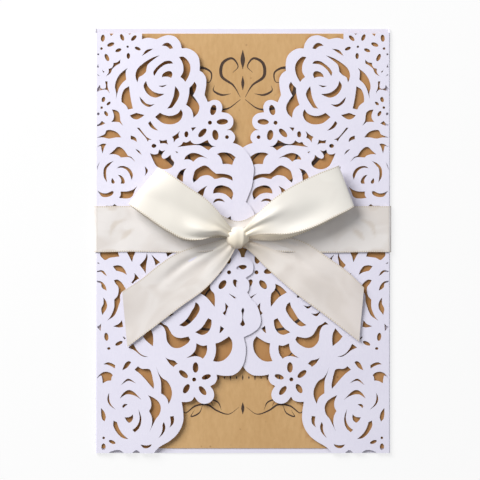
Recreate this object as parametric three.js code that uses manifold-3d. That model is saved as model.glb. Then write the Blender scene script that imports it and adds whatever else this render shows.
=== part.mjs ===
// Laser-cut invitation card: a gate-fold card with two lace flaps, a kraft insert and a tied satin ribbon.
// Millimetres, +Z up, +Y toward the top of the card. The card lies on its back, tied shut.
import * as THREE from "three";
import { mergeVertices } from "three/addons/utils/BufferGeometryUtils.js";
import Module from "manifold-3d";

const wasm = await Module();
wasm.setup();

// Driving sizes
const clearance = 0.3; // air between layers that don't lie flat on each other
const card = { width: 125, height: 180, sheet: 0.3 };
const insert = { sideMargin: 2, endMargin: 2, sheet: 0.3 };
const ribbon = { width: 19.5, sheet: 0.3, aboveCentre: 5 };
const flap = {
  topMargin: 1.7, // the flaps stop this far below the panel's top edge
  spring: 0.6, // how far a cut flap springs up from its fold
  springStart: 22, // where the spring has done most of its rise, from the fold
  springEnd: 46, // where the flap runs level, from the fold
};
const bow = {
  knotX: -2,
  knotY: 1.35,
  knotHalfX: 4.4,
  knotHalfY: 4.2,
  knotHeight: 5.2,
  loopHeight: 7.3, // top of a loop above the band
};
const facets = {
  lace: 0.24, // a cut may leave its smooth curve by this much
  samples: 6,
  petal: 6,
  foldSteps: 4, // even, so that the fold reaches the card's full width
  acrossRibbon: 2,
  alongRibbon: 1.5,
  knotAround: 16,
  knotUp: 10,
};

// Heights that follow from the sheets, from the table up
const panelUnder = ribbon.sheet;
const panelTop = panelUnder + card.sheet;
const foldInside = (insert.sheet + clearance) / 2;
const foldOutside = foldInside + card.sheet;
const foldAxis = panelTop + foldInside;
const foldUnder = foldAxis + foldInside;
const rightLevel = foldUnder + flap.spring;
const leftLevel = rightLevel + card.sheet + clearance;
const bandTop = leftLevel + card.sheet + clearance + ribbon.sheet;

// The lace is drawn on a flap: first number from the fold, second from the bottom edge, in mm.
// C marks a sharp corner; the points between two corners lie on one smooth curve.
const C = "corner";
const lace = { width: 125, height: 180 };

const petals = [
  // sprigs beside the fold: centre, half length, half width, turn in degrees
  [3.15, 176, 1.5, 0.85, 84], [6.5, 173.3, 1.6, 0.8, 22], [4.9, 167.8, 1.65, 0.8, 115],
  [2.55, 171.6, 0.55, 0.55, 0],
  [11.35, 176.3, 1.5, 0.75, 114], [16.3, 176, 1.5, 0.75, 46], [17.95, 171.55, 1.35, 0.65, -25],
  [14, 168.45, 1.27, 0.72, 90], [9.75, 170.85, 1.35, 0.7, 22], [13.7, 172.35, 0.5, 0.5, 0],
  [3.4, 150, 1.15, 0.75, 75], [5.6, 148.3, 1, 0.55, 41], [4.55, 144, 1.25, 0.65, 122],
  [2.65, 146.55, 0.55, 0.55, 0],
  [4.65, 49.35, 1.7, 0.88, 97], [10, 46.6, 1.7, 0.75, 27], [5.7, 44.4, 0.7, 0.55, 0],
  [7.1, 4.75, 1.5, 0.7, 157], [3.45, 2.7, 1.4, 0.9, 90], [3.5, 6.5, 0.55, 0.55, 0],
  [24.85, 130.3, 1, 0.85, 0],
  // blossoms on the free edge
  [50, 145.5, 2.2, 1.25, 77], [53.85, 140.5, 2.4, 1.2, 4], [50.9, 134.9, 2.2, 1.3, 100],
  [45.4, 135.8, 2.3, 1.1, 47], [48.6, 140.1, 0.85, 0.85, 0], [55.8, 134, 0.8, 0.8, 0],
  [38.6, 135.2, 1.3, 0.85, 88],
  [53.9, 71.5, 2.2, 1.25, 52], [59.7, 71.9, 2, 1.1, -60], [62, 78.8, 2.2, 1, 10],
  [56.3, 82.5, 2.2, 1.2, 95], [51.4, 77.3, 2.2, 1.2, 165], [56.7, 76.7, 0.85, 0.85, 0],
  [42.5, 36.4, 2.2, 1.2, 90], [37.4, 33.6, 2.3, 1.1, 140], [47.05, 32.4, 2, 1, 20],
  [38.6, 27.4, 2.15, 1.15, 60], [45.5, 26.6, 2.25, 1.1, 128], [41.9, 31.3, 0.85, 0.85, 0],
  [39, 66.4, 0.6, 0.5, 0],
];

const topRose = [
  [[10.6, 166.9, C], [10.5, 165.3, C], [8.6, 164.2], [7.2, 162.9], [6.5, 161.3], [4.4, 159.7, C],
    [5.3, 160.9],
    [5.7, 161.9], [5.6, 163, C], [6.9, 163.4], [7.5, 164.3], [7.7, 165.5, C], [9.3, 165.8]],
  [[13.8, 163.4, C], [12.95, 162.1], [13.05, 158.4, C], [11.3, 156.8], [10.1, 154.95], [9.4, 152.9],
    [8.65, 150.2, C], [8.85, 152.5], [8.3, 155.4], [8.85, 158], [10.1, 160.3], [11.9, 162.1]],
  [[14.3, 155.6, C], [14.7, 152.3], [15.2, 149.3], [15.9, 146.15, C], [13.9, 145.7, C], [13.1, 147.3],
    [11.1, 148.95, C], [11.05, 150.5], [11.4, 152.5], [12.3, 154.3]],
  [[24.7, 171.5, C], [21.7, 170.9], [19.7, 168.4, C], [22.2, 169.9]],
  [[27.3, 168.7, C], [24.2, 167.6], [20.5, 165.4], [17.9, 162.95], [17.05, 160.5], [17.3, 158.6],
    [17.9, 157.2, C],
    [18.5, 159.3], [20.1, 160.3], [21.5, 161.6, C], [22.2, 164.6], [24.4, 166.6]],
  [[24.95, 159.9, C], [24.6, 161.3], [25.5, 162.95], [27.7, 165], [29.8, 166.2], [32.1, 166.2],
    [33, 165.2, C],
    [29.6, 164.7], [26.7, 162.5], [25.5, 160.7]],
  [[28.2, 159.3, C], [28.5, 160.5], [29.6, 161.5], [31.05, 162], [32.1, 161.8], [32.7, 160.7],
    [32.2, 159.05, C],
    [31.05, 159.5], [29, 159.6]],
  [[26.7, 155.7, C], [28.6, 155.85], [30.5, 156.2, C], [28.6, 155.2]],
  [[21.5, 157.9, C], [20.5, 155.8], [21.4, 153.3], [23.2, 151.5], [25.5, 150.75], [27.5, 151.3],
    [29.3, 152.3, C],
    [26.3, 152.6], [24, 153.7], [22.2, 155.8]],
  [[18.7, 151.15, C], [19.5, 148.95], [21.15, 147.4], [22.8, 146.8], [25.3, 148, C], [23.2, 147.8],
    [21.6, 148.3],
    [20.3, 149.5]],
  [[33.9, 155.6, C], [35.15, 153.9], [35.7, 152.3], [35.15, 150.4], [33.5, 147.7], [32.5, 146.5],
    [30.5, 146.1, C],
    [31.7, 147.7], [33.1, 151], [33.4, 152.3]],
  [[35.5, 167.9, C], [37.2, 168.1], [38.85, 166.85], [40.1, 164.8], [40.3, 162.5], [39.5, 159.7],
    [38.2, 157.4, C],
    [37.2, 158.6], [36.1, 159.5, C], [37.2, 161.5], [37.3, 164], [36.6, 166.2]],
  [[42.1, 157.5, C], [42.9, 155.9], [42.5, 153.8], [41.4, 151.6, C], [42.9, 149.5], [44.1, 147],
    [43.5, 144.2],
    [41.6, 142.2, C], [41.2, 144.6], [40.2, 146.4], [38.5, 147.7, C], [39.3, 150.1], [39.8, 152.6],
    [39.9, 154.8, C],
    [41.1, 156.1]],
  [[28.2, 172.8, C], [29.6, 173.8], [31, 173.9], [32.2, 173], [33, 171.6, C], [31.6, 171.3, C],
    [30.3, 172.4]],
  [[25.3, 142.5, C], [27.4, 144.3, C], [29, 143.5], [31.05, 143], [33.1, 143.2], [35.15, 144.2],
    [36.3, 145.8, C],
    [37, 144.2], [36.8, 142.6], [35.8, 140.95], [33.7, 139.7], [31.5, 139.4], [29, 139.8], [27.7, 140.5]],
  [[14.6, 143.2, C], [17.3, 144.3, C], [20.85, 143.4, C], [19.1, 142.1], [17.5, 141.5], [15.8, 142]],
];

const foldSprigs = [
  [[4.15, 157.7, C], [5.15, 157.7, C], [5.2, 155.3], [6.1, 152.5, C], [4.9, 154], [3.4, 154.2],
    [1.3, 153.5],
    [0.6, 153.3, C], [0.7, 154.6, C], [1.9, 156.2, C], [2.2, 154.9], [3.4, 154.5], [4.4, 155]],
  [[0.5, 163.6, C], [1.1, 164.9, C], [1.5, 163.6, C]],
  [[2.7, 140.9, C], [4.2, 139.9, C], [2.6, 139.1], [0.5, 138.6, C], [0.5, 139.2, C], [1.9, 139.9]],
  [[7, 145.7, C], [8.6, 145.5], [10, 144.5], [10.45, 142.6], [10.6, 141], [11.8, 138.8, C],
    [10.1, 140.4, C],
    [8.4, 140.5], [6.7, 140.5, C], [7.6, 141.6], [7.9, 143], [7.6, 144.4]],
  [[4.8, 136.9], [6.8, 137], [9.2, 136], [11, 133.9, C], [8.6, 133.9], [5.8, 133.4], [3.2, 133.9],
    [0.5, 133.8, C],
    [2, 134.4], [3.9, 135.3]],
  [[0.5, 129.6, C], [2.2, 130.9], [3.4, 131.3], [4.6, 131.1, C], [3.8, 129.7], [3, 127.1, C],
    [2.6, 128.8],
    [2.2, 130.3], [1.2, 130]],
  [[5.8, 126.7, C], [7.8, 128.4], [9.3, 129.8], [10.5, 129.8], [12.1, 128.6], [13.15, 127.2],
    [13.8, 126.2],
    [15.2, 125.6], [16.95, 123.5, C], [14.6, 125.4], [10.8, 125.4, C], [9.9, 126.2], [7.8, 126.8]],
  [[15, 134.7, C], [16.4, 134.2], [17.3, 133.4], [17.6, 132, C], [16.4, 132.7], [15, 133.15, C]],
  [[16.95, 129.05, C], [18.5, 128.2], [19.6, 126.5, C], [18.1, 127.7]],
  [[23.3, 140.85, C], [22.4, 139.9, C], [23.4, 138.3], [24.85, 137.3], [26.7, 136.75, C], [25.05, 138.3],
    [24, 139.7]],
  [[17.6, 138, C], [18.6, 138, C], [20.2, 135.9], [22, 133.9], [23.9, 132.9, C], [22.7, 132.9, C],
    [22.2, 132.1, C],
    [21.6, 133.4], [19.9, 135.4]],
  [[27.1, 132.8, C], [28.6, 132.5], [30.3, 132.9, C], [30.4, 132], [30.9, 130.8, C], [29.9, 131.3],
    [27.5, 131.4, C]],
];

const foldRose = [
  [[7.9, 124, C], [5.15, 122.7], [3.7, 120.85], [3.4, 118.95], [3.6, 117.1], [4.95, 114.85, C],
    [4.64, 116.9],
    [4.54, 118.95], [4.95, 121], [5.8, 121.9], [6.8, 123.1]],
  [[9.05, 120.85, C], [10.5, 121.7], [12.3, 121.7], [14.2, 120.85], [15.2, 119.8], [15.9, 117.9],
    [15.4, 115.9, C],
    [15, 117.1], [14.2, 118.95], [13.15, 120.2], [11.3, 121.05]],
  [[20.95, 121.7, C], [22.3, 119.8], [20.85, 117.4, C], [21.3, 118.95]],
  [[7.1, 116.7, C], [8.2, 114.95], [7.8, 114.3], [6.9, 114.6], [6.8, 115.9]],
  [[9.5, 118, C], [10.7, 117.8], [11.9, 116.7], [12.5, 115.05], [12.2, 114.3, C], [10.8, 114.3, C],
    [11, 115.7],
    [10.4, 117.1]],
  [[0.85, 111.3, C], [2.7, 110.4], [4.7, 110.2], [7.2, 111.15], [7.8, 110.85, C], [7.4, 109.8],
    [6, 108.9],
    [4.1, 108.6], [2.7, 108.9], [1.7, 110.1]],
  [[10.7, 110.95, C], [13.8, 111.05], [16, 111.8], [17.7, 113.2, C], [16.6, 111.15], [15.8, 109.1],
    [14.8, 108.3],
    [12.5, 108], [10, 108.3, C], [10.7, 109.3]],
  [[4.3, 104.9, C], [7.4, 105], [8.1, 105.7, C], [9.5, 104.6, C], [8.8, 103.2], [6, 102.9]],
  [[6, 91, C], [7.2, 97.6], [13.8, 99.6, C], [8.9, 96.2]],
  [[10.8, 90.2, C], [12.4, 93.9], [16.5, 95.2, C], [13.9, 92]],
];

const middleRose = [
  [[40.6, 138, C], [42.8, 138.2, C], [41.9, 137.3], [41.3, 136.5, C]],
  [[35.9, 136.6, C], [35.3, 135], [35.6, 133.8, C], [34.2, 133], [33.3, 131.7, C], [33.1, 133.3],
    [32.5, 134.1, C],
    [34.2, 135.1]],
  [[34.7, 129.8, C], [36.4, 130.7], [37.3, 132, C], [38.6, 131.7], [40.3, 132.6, C], [40.9, 131.7],
    [42.1, 131.1],
    [44.2, 131.2], [47.6, 132.85, C], [48.2, 131.6], [49.5, 130.4], [51.15, 130.1, C], [49.7, 129.8],
    [48, 128.4, C],
    [44.6, 130.4], [42.1, 130.6], [37.2, 130.1]],
  [[33.9, 128.1, C], [35.15, 127.6, C], [34.5, 127.2, C]],
  [[37.7, 124.4, C], [38.2, 125.6], [39.7, 126.8], [41.3, 127.3], [43.4, 127], [47.6, 124.95, C],
    [45.2, 125.6],
    [43.4, 125.15], [41.5, 123.6, C], [40.5, 124.3], [39.05, 124.6]],
  [[51.6, 126.8, C], [53, 127.4], [55.05, 127.5], [57.3, 127], [59.6, 125.4, C], [58.7, 124.1],
    [58.2, 122.2, C],
    [56.3, 122.6], [54, 122.6, C], [53.6, 124.3], [52.8, 125.8]],
  [[23.2, 127.2, C], [24.8, 126.7], [26.4, 127], [27.1, 128.7, C], [28.2, 128.1], [29.7, 128.5, C],
    [28.5, 127],
    [28.1, 125.9], [28.8, 124.9], [30, 125.1], [31.9, 126.5, C], [32.2, 125], [33.4, 123.3],
    [32.8, 121.6],
    [30.5, 120.5], [28, 120.6], [25.8, 121.9], [24.4, 124.4]],
  [[38.6, 120.8, C], [36.2, 119.8], [34.85, 117.9], [34.5, 116.7, C], [35.6, 115.9], [37.1, 114.95, C],
    [37.2, 116.9], [37.6, 119.15]],
  [[46.4, 122], [47.9, 121.3], [49.5, 119.8], [51.15, 118.5, C], [53.6, 118.5], [56.1, 118.1],
    [57.9, 117.1],
    [58.3, 115.5, C], [56.5, 116.3], [54.2, 116.9], [50.5, 116.3], [49.7, 117], [48.1, 117.8],
    [46.4, 117.8],
    [44.6, 117.2], [43.15, 115.9], [41.7, 114.7, C], [41.3, 116.1], [41.7, 118.1], [42.3, 119.8],
    [44.4, 121.3]],
  [[47.4, 113.4, C], [45, 112], [43.3, 110.5, C], [45.4, 108.7, C], [45.9, 109.9], [46.4, 111.8]],
  [[49.9, 110.1, C], [50.2, 111.6], [51.4, 113.1], [53.2, 113.6], [55.3, 113.2], [57.3, 112.2],
    [58.4, 110.3],
    [57.8, 107.4, C], [56.7, 108.5], [55.05, 109.8], [52.6, 110.4]],
  [[49.9, 106, C], [50.7, 107.5], [52.2, 108], [53.8, 107.6], [54.85, 106.5, C], [53.2, 106.95],
    [51.6, 106.85]],
  [[55, 99, C], [57.4, 100.5, C], [57.6, 99.2], [58.5, 97.1, C], [56, 98]],
];

const lowerLeaves = [
  [[2, 84.1], [2.6, 86], [6, 86.6], [9.2, 85.6], [10.2, 83.4, C], [7.8, 83.1], [6, 82.8], [4.1, 81.9],
    [2.9, 82.8]],
  [[13.6, 85.3], [15.2, 85.9], [16.8, 85.3], [16.1, 83.2], [15.6, 81, C], [14.6, 83]],
  [[21.8, 84.95, C], [22.2, 83.4], [21.8, 81.15], [21.5, 78.7], [21.4, 76.3, C], [20.3, 77.9],
    [18.8, 79.8, C],
    [20.3, 81.4], [21.4, 83]],
  [[23.7, 84.3, C], [25.5, 82.6], [27.5, 81, C], [25.5, 79.6, C], [25.15, 81.15], [24.6, 82.6]],
  [[29.9, 85.3, C], [33.7, 85.4, C], [32.2, 84.5], [30.6, 83.3, C]],
  [[0.5, 77.2, C], [2.6, 77.6], [3.7, 77], [4.9, 75.1, C], [3.5, 76], [2.4, 76.9], [0.5, 76.7, C]],
  [[7.4, 79.3, C], [9.3, 79.7], [11.1, 79.3], [12.5, 77.7], [13.4, 75.6, C], [11.7, 76.6],
    [8.85, 77.4, C],
    [8, 78.5]],
  [[16.5, 76.5, C], [18.6, 74.2, C], [17.05, 73.15], [15.8, 71.9, C], [15.3, 72.4, C], [16.4, 74],
    [16.7, 75.2]],
  [[0.5, 73.2, C], [2.6, 72.7], [4.2, 71], [4.8, 68.9, C], [3.2, 69.8], [2.6, 70.6], [2.4, 71.9],
    [0.6, 72.6, C]],
  [[7.8, 73.4, C], [9.3, 73.6], [11.1, 72.4], [12.95, 69.6, C], [11.3, 68.4], [10.5, 66.8], [10.5, 64.7],
    [9.8, 62.3], [9.05, 60.2], [8, 58.3], [5.05, 56.2, C], [6.4, 57.9], [7.4, 60], [8, 62], [8, 65.15, C],
    [9.3, 66.6], [9.8, 68.4], [9.7, 70.5], [8.6, 71.9]],
  [[3.4, 66, C], [4.5, 64.5], [4.95, 62.9], [4.7, 61.3], [2.9, 58.6, C], [2.5, 61.3], [3.4, 63.3]],
  [[11.3, 56.4, C], [11.8, 53.6, C], [10.1, 53.3], [7.6, 53.8, C], [9.9, 54.85]],
  [[2.4, 54.9, C], [1.7, 54.2], [0.5, 53.5, C], [2.2, 51.8, C]],
  [[23.3, 53, C], [24.3, 50.7], [24.6, 48.3], [24.4, 45.4, C], [21.6, 47.7], [20.2, 49.5, C], [21.6, 51]],
  [[14, 44.8, C], [16.1, 46.4, C], [17.05, 44.6], [18.7, 42.5], [20.3, 41.5], [22.5, 40.9, C], [20.3, 41],
    [18.7, 41.9], [16.85, 43.4], [15.4, 44.2]],
  [[43.8, 68.2, C], [46.3, 70.6], [48.7, 71.9, C], [48.7, 70.1], [49.3, 68.85], [50.3, 67.8],
    [50.7, 65.4],
    [50.6, 62.1, C], [47.05, 66.2]],
  [[42.5, 64.1, C], [43.7, 63.1], [44.3, 61.3], [44.1, 60.4], [42.95, 58.3], [41.3, 56.3], [39.7, 54.85],
    [37.8, 53.8], [35.5, 54.3, C], [37.2, 55.5], [39.05, 57.3], [41.3, 61], [41.9, 61.9]],
  [[33.5, 59.2, C], [31.2, 58.1], [29.3, 60.4, C], [31.4, 59.2]],
  [[36.8, 62.7, C], [34.8, 61.3], [32.8, 63, C], [34.8, 62.3]],
];

const centreRose = [
  [[26.1, 54.6, C], [27.6, 55.8, C], [28.7, 54.85], [30.5, 53.85], [31.5, 52.2], [32.7, 50.3],
    [34.1, 49.3],
    [36.2, 48.9], [39.5, 49.5, C], [40.2, 48.2, C], [39.5, 47.05], [37.8, 45.7], [35.6, 44.7],
    [33.1, 44.8],
    [31.5, 46], [30.4, 47.7], [29.8, 51.6], [29, 53.4], [27.7, 54.4]],
  [[47.8, 57.3, C], [49.3, 56.5, C], [49.2, 54.4], [48.5, 52.4], [47.3, 50.95], [45.4, 50.2],
    [42.3, 51.3, C],
    [44.6, 52.8], [46, 54.4], [47.05, 56.1]],
  [[53, 54.1, C], [54.6, 52.9, C], [53.6, 51.6], [52.6, 50.85, C], [52.9, 52.8]],
  [[56.7, 49.6, C], [57.9, 47.7], [58.1, 45.4], [57.5, 42.95], [55.9, 40.7], [54, 39.3], [52, 38.85],
    [49.9, 39.05, C], [50.7, 41.1], [51.15, 43.6], [50.95, 46.6, C], [52.6, 47.05], [54.85, 48.3]],
  [[42.85, 46.6, C], [45.4, 45.6], [47.3, 45.8, C], [47.4, 44], [46.85, 41.9], [45.6, 40.1, C],
    [44.2, 40.9],
    [42.3, 41.2], [38.6, 40.4, C], [40.9, 41.9], [42.3, 43.6], [42.7, 45]],
  [[29.5, 41.2, C], [30.2, 40.3], [31.7, 39.7], [33.5, 39.3], [34.95, 37.9, C], [33.9, 37.4],
    [33.2, 36.6, C],
    [31.7, 37.8], [30.6, 39.3]],
  [[55.05, 63.8, C], [56.7, 61.9, C], [55.9, 60], [55.4, 58.1, C], [54, 59.4, C], [55.05, 60.6],
    [55.15, 61.7]],
  [[56.5, 67.8, C], [59.8, 66, C], [59.3, 65.3, C]],
  [[62.6, 61.8, C], [63.4, 60.5], [62.9, 59.4], [62.6, 57.5], [62.9, 56.1], [63.4, 54.6], [62.3, 53.7, C],
    [61.4, 54.6], [62.2, 56.3], [62.3, 59], [61.9, 60.5]],
  [[63.2, 87.9, C], [64.8, 86.1, C], [63.9, 84.85], [63.5, 83.1, C], [61.8, 83.1, C], [61.4, 84.85],
    [60.3, 86.6, C], [62, 86.6]],
];

const bottomRose = [
  [[3.4, 37.7, C], [5.15, 38.5], [6.8, 38.2], [8.4, 37.3, C], [8.3, 35.9, C], [7.2, 36.6], [5.15, 37.5]],
  [[15.2, 38.6, C], [14.2, 39.05], [12.95, 38.4], [12.1, 37], [11.4, 35.15, C], [13.4, 36.2],
    [14.4, 37.4]],
  [[0.5, 31.5, C], [1.6, 33.1], [3.2, 34.3], [5, 34.5], [6.6, 33.9], [7.4, 33.1, C], [6.9, 32.2],
    [6.7, 30.8, C],
    [4.9, 30.6], [3.1, 29.6, C], [2.9, 31.5], [2.5, 32.9], [1.6, 32.5]],
  [[18.1, 36.9, C], [18.9, 36.2], [19.9, 35.8], [22.2, 35.8], [23.2, 35.4], [24, 33.3], [24.4, 31.3],
    [24.85, 29], [24.7, 27.3, C], [23.6, 28.5], [20.7, 31.9], [18.7, 33.9], [16.6, 35.4, C]],
  [[10.7, 28.8, C], [13.9, 31.6], [17.3, 29.6, C], [14, 30.7]],
  [[10.4, 23.2, C], [11.7, 25.3], [13.4, 26.6], [14.6, 26.8], [16.4, 25.9], [19.7, 22.5, C], [18.1, 23.7],
    [16.4, 24.5], [14.6, 24.95], [12.95, 24.85], [11.5, 24]],
  [[5.8, 25.6, C], [5.15, 23.8], [5.15, 22.2], [6, 20.5], [8.7, 18.3, C], [6.6, 20.7], [5.9, 22.6],
    [5.8, 24.2]],
  [[13.8, 20.7, C], [12.3, 20.85], [11.4, 19.9], [11.7, 19.1, C], [12.5, 19.8]],
  [[18.3, 18.6, C], [19.1, 16.6], [19.5, 14.6], [19.2, 12.1], [18.3, 10.3], [16.7, 8.85, C],
    [15.7, 9.9, C],
    [17.05, 10.9], [18.3, 12.7], [18.8, 15], [18.6, 16.85]],
  [[12.4, 15.2, C], [14.2, 15.3], [15.2, 15.8], [15.9, 16.5, C], [16, 15], [15.4, 13.6], [14.3, 12.95],
    [13.4, 13.6]],
  [[7.7, 13.8, C], [9.15, 13.15, C], [9.7, 11.3], [10.7, 9.3], [12.1, 7.6], [14, 6, C], [11.7, 6.4],
    [10.1, 7.6],
    [8.6, 9.5], [7.6, 11.7]],
  [[22.4, 24.6, C], [24.2, 23.8], [26.3, 22.4], [27.6, 20.3], [27.7, 18.3], [27.1, 16.4], [25.7, 14.6],
    [24.85, 12.95], [22.9, 8.95, C], [23.8, 11.3], [24.1, 13.6], [23.8, 15.8], [22.8, 17.9, C],
    [23.6, 19.5],
    [23.7, 21.4], [23.2, 23.2]],
  [[29.05, 13.3, C], [29.7, 11.3], [29.4, 9.5], [28.3, 7.8], [26.8, 6.4, C], [27.9, 8.2], [28.5, 10.3],
    [28.5, 12.1]],
  [[19.2, 3.7, C], [20.7, 3.4], [22.4, 3.4], [23.9, 3.9, C], [23.4, 2.9], [22.2, 2.2], [20.7, 2.2],
    [19.7, 2.9]],
  [[2.4, 19.2, C], [3.8, 17.4], [4.4, 15.3], [3.9, 13.4, C], [2.9, 14.4], [2.5, 16], [2.4, 17.6]],
  [[25.8, 36.7, C], [26.9, 33.9], [28.4, 31.9], [30.3, 30.7], [31.8, 28.5], [32.5, 25.8], [32.2, 23.4],
    [31.1, 20.9, C], [30.5, 23], [29.4, 24.4], [27.9, 25.4, C], [27.9, 28], [27.7, 31], [26.8, 33.5]],
  [[31.7, 15.6, C], [33.2, 15.8, C], [33.4, 14.2], [33, 12.5], [31.5, 10.9, C], [32, 12.95]],
];

const flapTop = lace.height - flap.topMargin;
const past = 2; // how far a cutter runs past the sheet that it cuts

const edgeNotches = [
  [[5.9, flapTop + past, C], [8.1, flapTop + past, C], [8.1, flapTop, C], [6.6, flapTop - 1.5, C],
    [5.9, flapTop, C]],
  [[5.9, -past, C], [5.9, 0.4, C], [8, 1.2], [10.2, 1.3], [11.9, 0.4, C], [11.9, -past, C]],
  [[15.8, -past, C], [15.8, 0.4, C], [17.4, 1.3], [18.9, 0.4, C], [18.9, -past, C]],
];

// The free edge of a flap, from the top of the card to the bottom, closed behind the fold.
const freeEdge = [
  [-past, flapTop, C], [19.8, flapTop, C], [19.8, 175.5, C], [22.3, 176.1], [26, 175.5, C], [28.5, 176.6],
  [31, 177.2], [34, 176.4], [36, 174], [36.7, 171.6, C], [39, 171.6], [41.5, 170.5], [43.6, 168.2],
  [44.3, 165],
  [44.2, 162.1, C], [45.6, 161.2], [46.9, 159], [47, 156.3], [46.3, 151.9, C], [47.2, 150],
  [47.7, 148.8, C],
  [50.3, 149.8], [52.6, 149.2], [53.8, 147], [53.5, 144.6, C], [56.5, 143.9], [58.3, 142], [58.3, 139.2],
  [57, 137.5], [55.6, 137, C], [57.4, 136.8], [59, 135], [59.2, 133.3], [58.3, 131.5, C], [60, 131],
  [62.9, 129.2],
  [65.6, 125.5], [67.2, 121], [66.9, 117], [66.3, 113], [65.2, 110], [63.8, 106.5, C], [66.2, 104],
  [67.6, 100.5],
  [66.6, 97], [64.5, 93], [63.3, 90], [62.2, 87, C], [60.4, 86.7, C], [61.4, 84.9], [61.8, 83.1, C],
  [64.6, 82.8],
  [66.8, 80.3], [66.6, 76.6], [63.8, 74.4, C], [65.1, 72.6], [65.2, 70], [64.4, 68, C], [66.2, 65.4],
  [68.4, 62.8],
  [69.8, 59], [70.2, 56], [69.2, 53.2], [66.5, 51], [62.9, 49.2, C], [63.8, 45], [63.5, 40.5],
  [62.5, 37.2],
  [61, 34.95], [59.4, 33.7], [58.1, 33.1], [54.6, 32.9], [51.4, 33.4, C], [51.6, 31.6], [50.6, 29.6],
  [48.7, 28.5, C], [50, 26.6], [50.3, 24], [48.8, 21.8], [46.3, 21], [44, 21.7], [42, 24, C], [41, 22.5],
  [39, 21.8], [36.6, 21.8, C], [37.2, 18], [37.3, 14], [36.2, 10.5], [34, 7.3], [31, 4.9], [28, 3.2],
  [26.3, 1.9],
  [24.8, 0.2, C], [24.8, -past, C], [-past, -past, C],
];

// Distance of a point from the straight line through two others.
function distanceToChord(point, a, b) {
  const chord = b.clone().sub(a);
  const toPoint = point.clone().sub(a);
  const length = chord.length();
  return length === 0 ? toPoint.length() : chord.cross(toPoint).length() / length;
}

// Keeps as few of the points along a curve as stay within the lace tolerance of it.
function thinOut(points, out) {
  const last = points.at(-1);
  const distances = points.map((point) => distanceToChord(point, points[0], last));
  const worst = Math.max(...distances);
  if (worst <= facets.lace) {
    out.push(points[0]);
    return;
  }
  const split = distances.indexOf(worst);
  thinOut(points.slice(0, split + 1), out);
  thinOut(points.slice(split), out);
}

// The closed outline through drawn points: smooth between corners, sharp at them.
function outlineOf(drawn) {
  const first = drawn.findIndex((point) => point[2] === C);
  const turned = [...drawn.slice(first), ...drawn.slice(0, first + 1)];
  const out = [];
  let side = [];
  for (const [across, up, kind] of turned) {
    side.push(new THREE.Vector3(across, up, 0));
    if (kind !== C || side.length === 1) continue;
    if (side.length === 2) out.push(side[0]);
    else thinOut(new THREE.CatmullRomCurve3(side).getPoints(side.length * facets.samples), out);
    side = [side.at(-1)];
  }
  return out;
}

function petalOutline([across, up, halfLong, halfShort, degrees]) {
  const turn = THREE.MathUtils.degToRad(degrees);
  const step = Math.acos(1 - facets.lace / halfLong);
  const count = Math.max(facets.petal, Math.ceil(Math.PI / step));
  return Array.from({ length: count }, (_, index) => {
    const angle = (index / count) * 2 * Math.PI;
    const long = halfLong * Math.cos(angle);
    const short = halfShort * Math.sin(angle);
    const x = across + long * Math.cos(turn) - short * Math.sin(turn);
    return new THREE.Vector3(x, up + long * Math.sin(turn) + short * Math.cos(turn), 0);
  });
}

// From the drawing of a flap to its place on the card; side is -1 on the left and 1 on the right.
function onCard(outline, side) {
  return outline.map((point) => {
    const fromFold = (point.x * card.width) / lace.width;
    const y = (point.y * card.height) / lace.height - card.height / 2;
    return new THREE.Vector2(side * (card.width / 2 - fromFold), y);
  });
}

// A closed geometry as a solid that can be cut and joined.
function toSolid(geometry) {
  geometry.deleteAttribute("normal");
  geometry.deleteAttribute("uv");
  const merged = mergeVertices(geometry, 1e-4);
  const vertProperties = new Float32Array(merged.attributes.position.array);
  const triVerts = new Uint32Array(merged.index.array);
  return new wasm.Manifold(new wasm.Mesh({ numProp: 3, vertProperties, triVerts }));
}

function toGeometry(solid) {
  const mesh = solid.getMesh();
  const geometry = new THREE.BufferGeometry();
  geometry.setAttribute("position", new THREE.BufferAttribute(mesh.vertProperties, 3));
  geometry.setIndex(new THREE.BufferAttribute(mesh.triVerts, 1));
  geometry.computeVertexNormals();
  return geometry;
}

// A plan outline raised from one height to another.
function prism(points, from, to) {
  const shape = new THREE.Shape(points);
  const geometry = new THREE.ExtrudeGeometry(shape, { depth: to - from, bevelEnabled: false });
  return toSolid(geometry.translate(0, 0, from));
}

// An outline in X and Z run along Y, centred on middleY.
function runAlongY(shape, length, middleY) {
  const geometry = new THREE.ExtrudeGeometry(shape, { depth: length, bevelEnabled: false });
  geometry.rotateX(Math.PI / 2);
  return toSolid(geometry.translate(0, middleY + length / 2, 0));
}

// Points of an arc about a fold's axis, from one angle to another, with radii in X and Z.
function arc(centreX, centreZ, radiusX, radiusZ, from, to) {
  const count = facets.foldSteps;
  return Array.from({ length: count + 1 }, (_, index) => {
    const angle = from + ((to - from) * index) / count;
    return new THREE.Vector2(centreX + radiusX * Math.cos(angle), centreZ + radiusZ * Math.sin(angle));
  });
}

// Underside of a flap from its fold inwards, as distance from the fold and height.
function flapUnderside(level, reach) {
  const rise = level - foldUnder;
  const mostOfRise = 0.68;
  return [
    [flap.springStart, foldUnder + rise * mostOfRise],
    [flap.springEnd, level],
    [reach, level],
  ];
}

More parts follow.
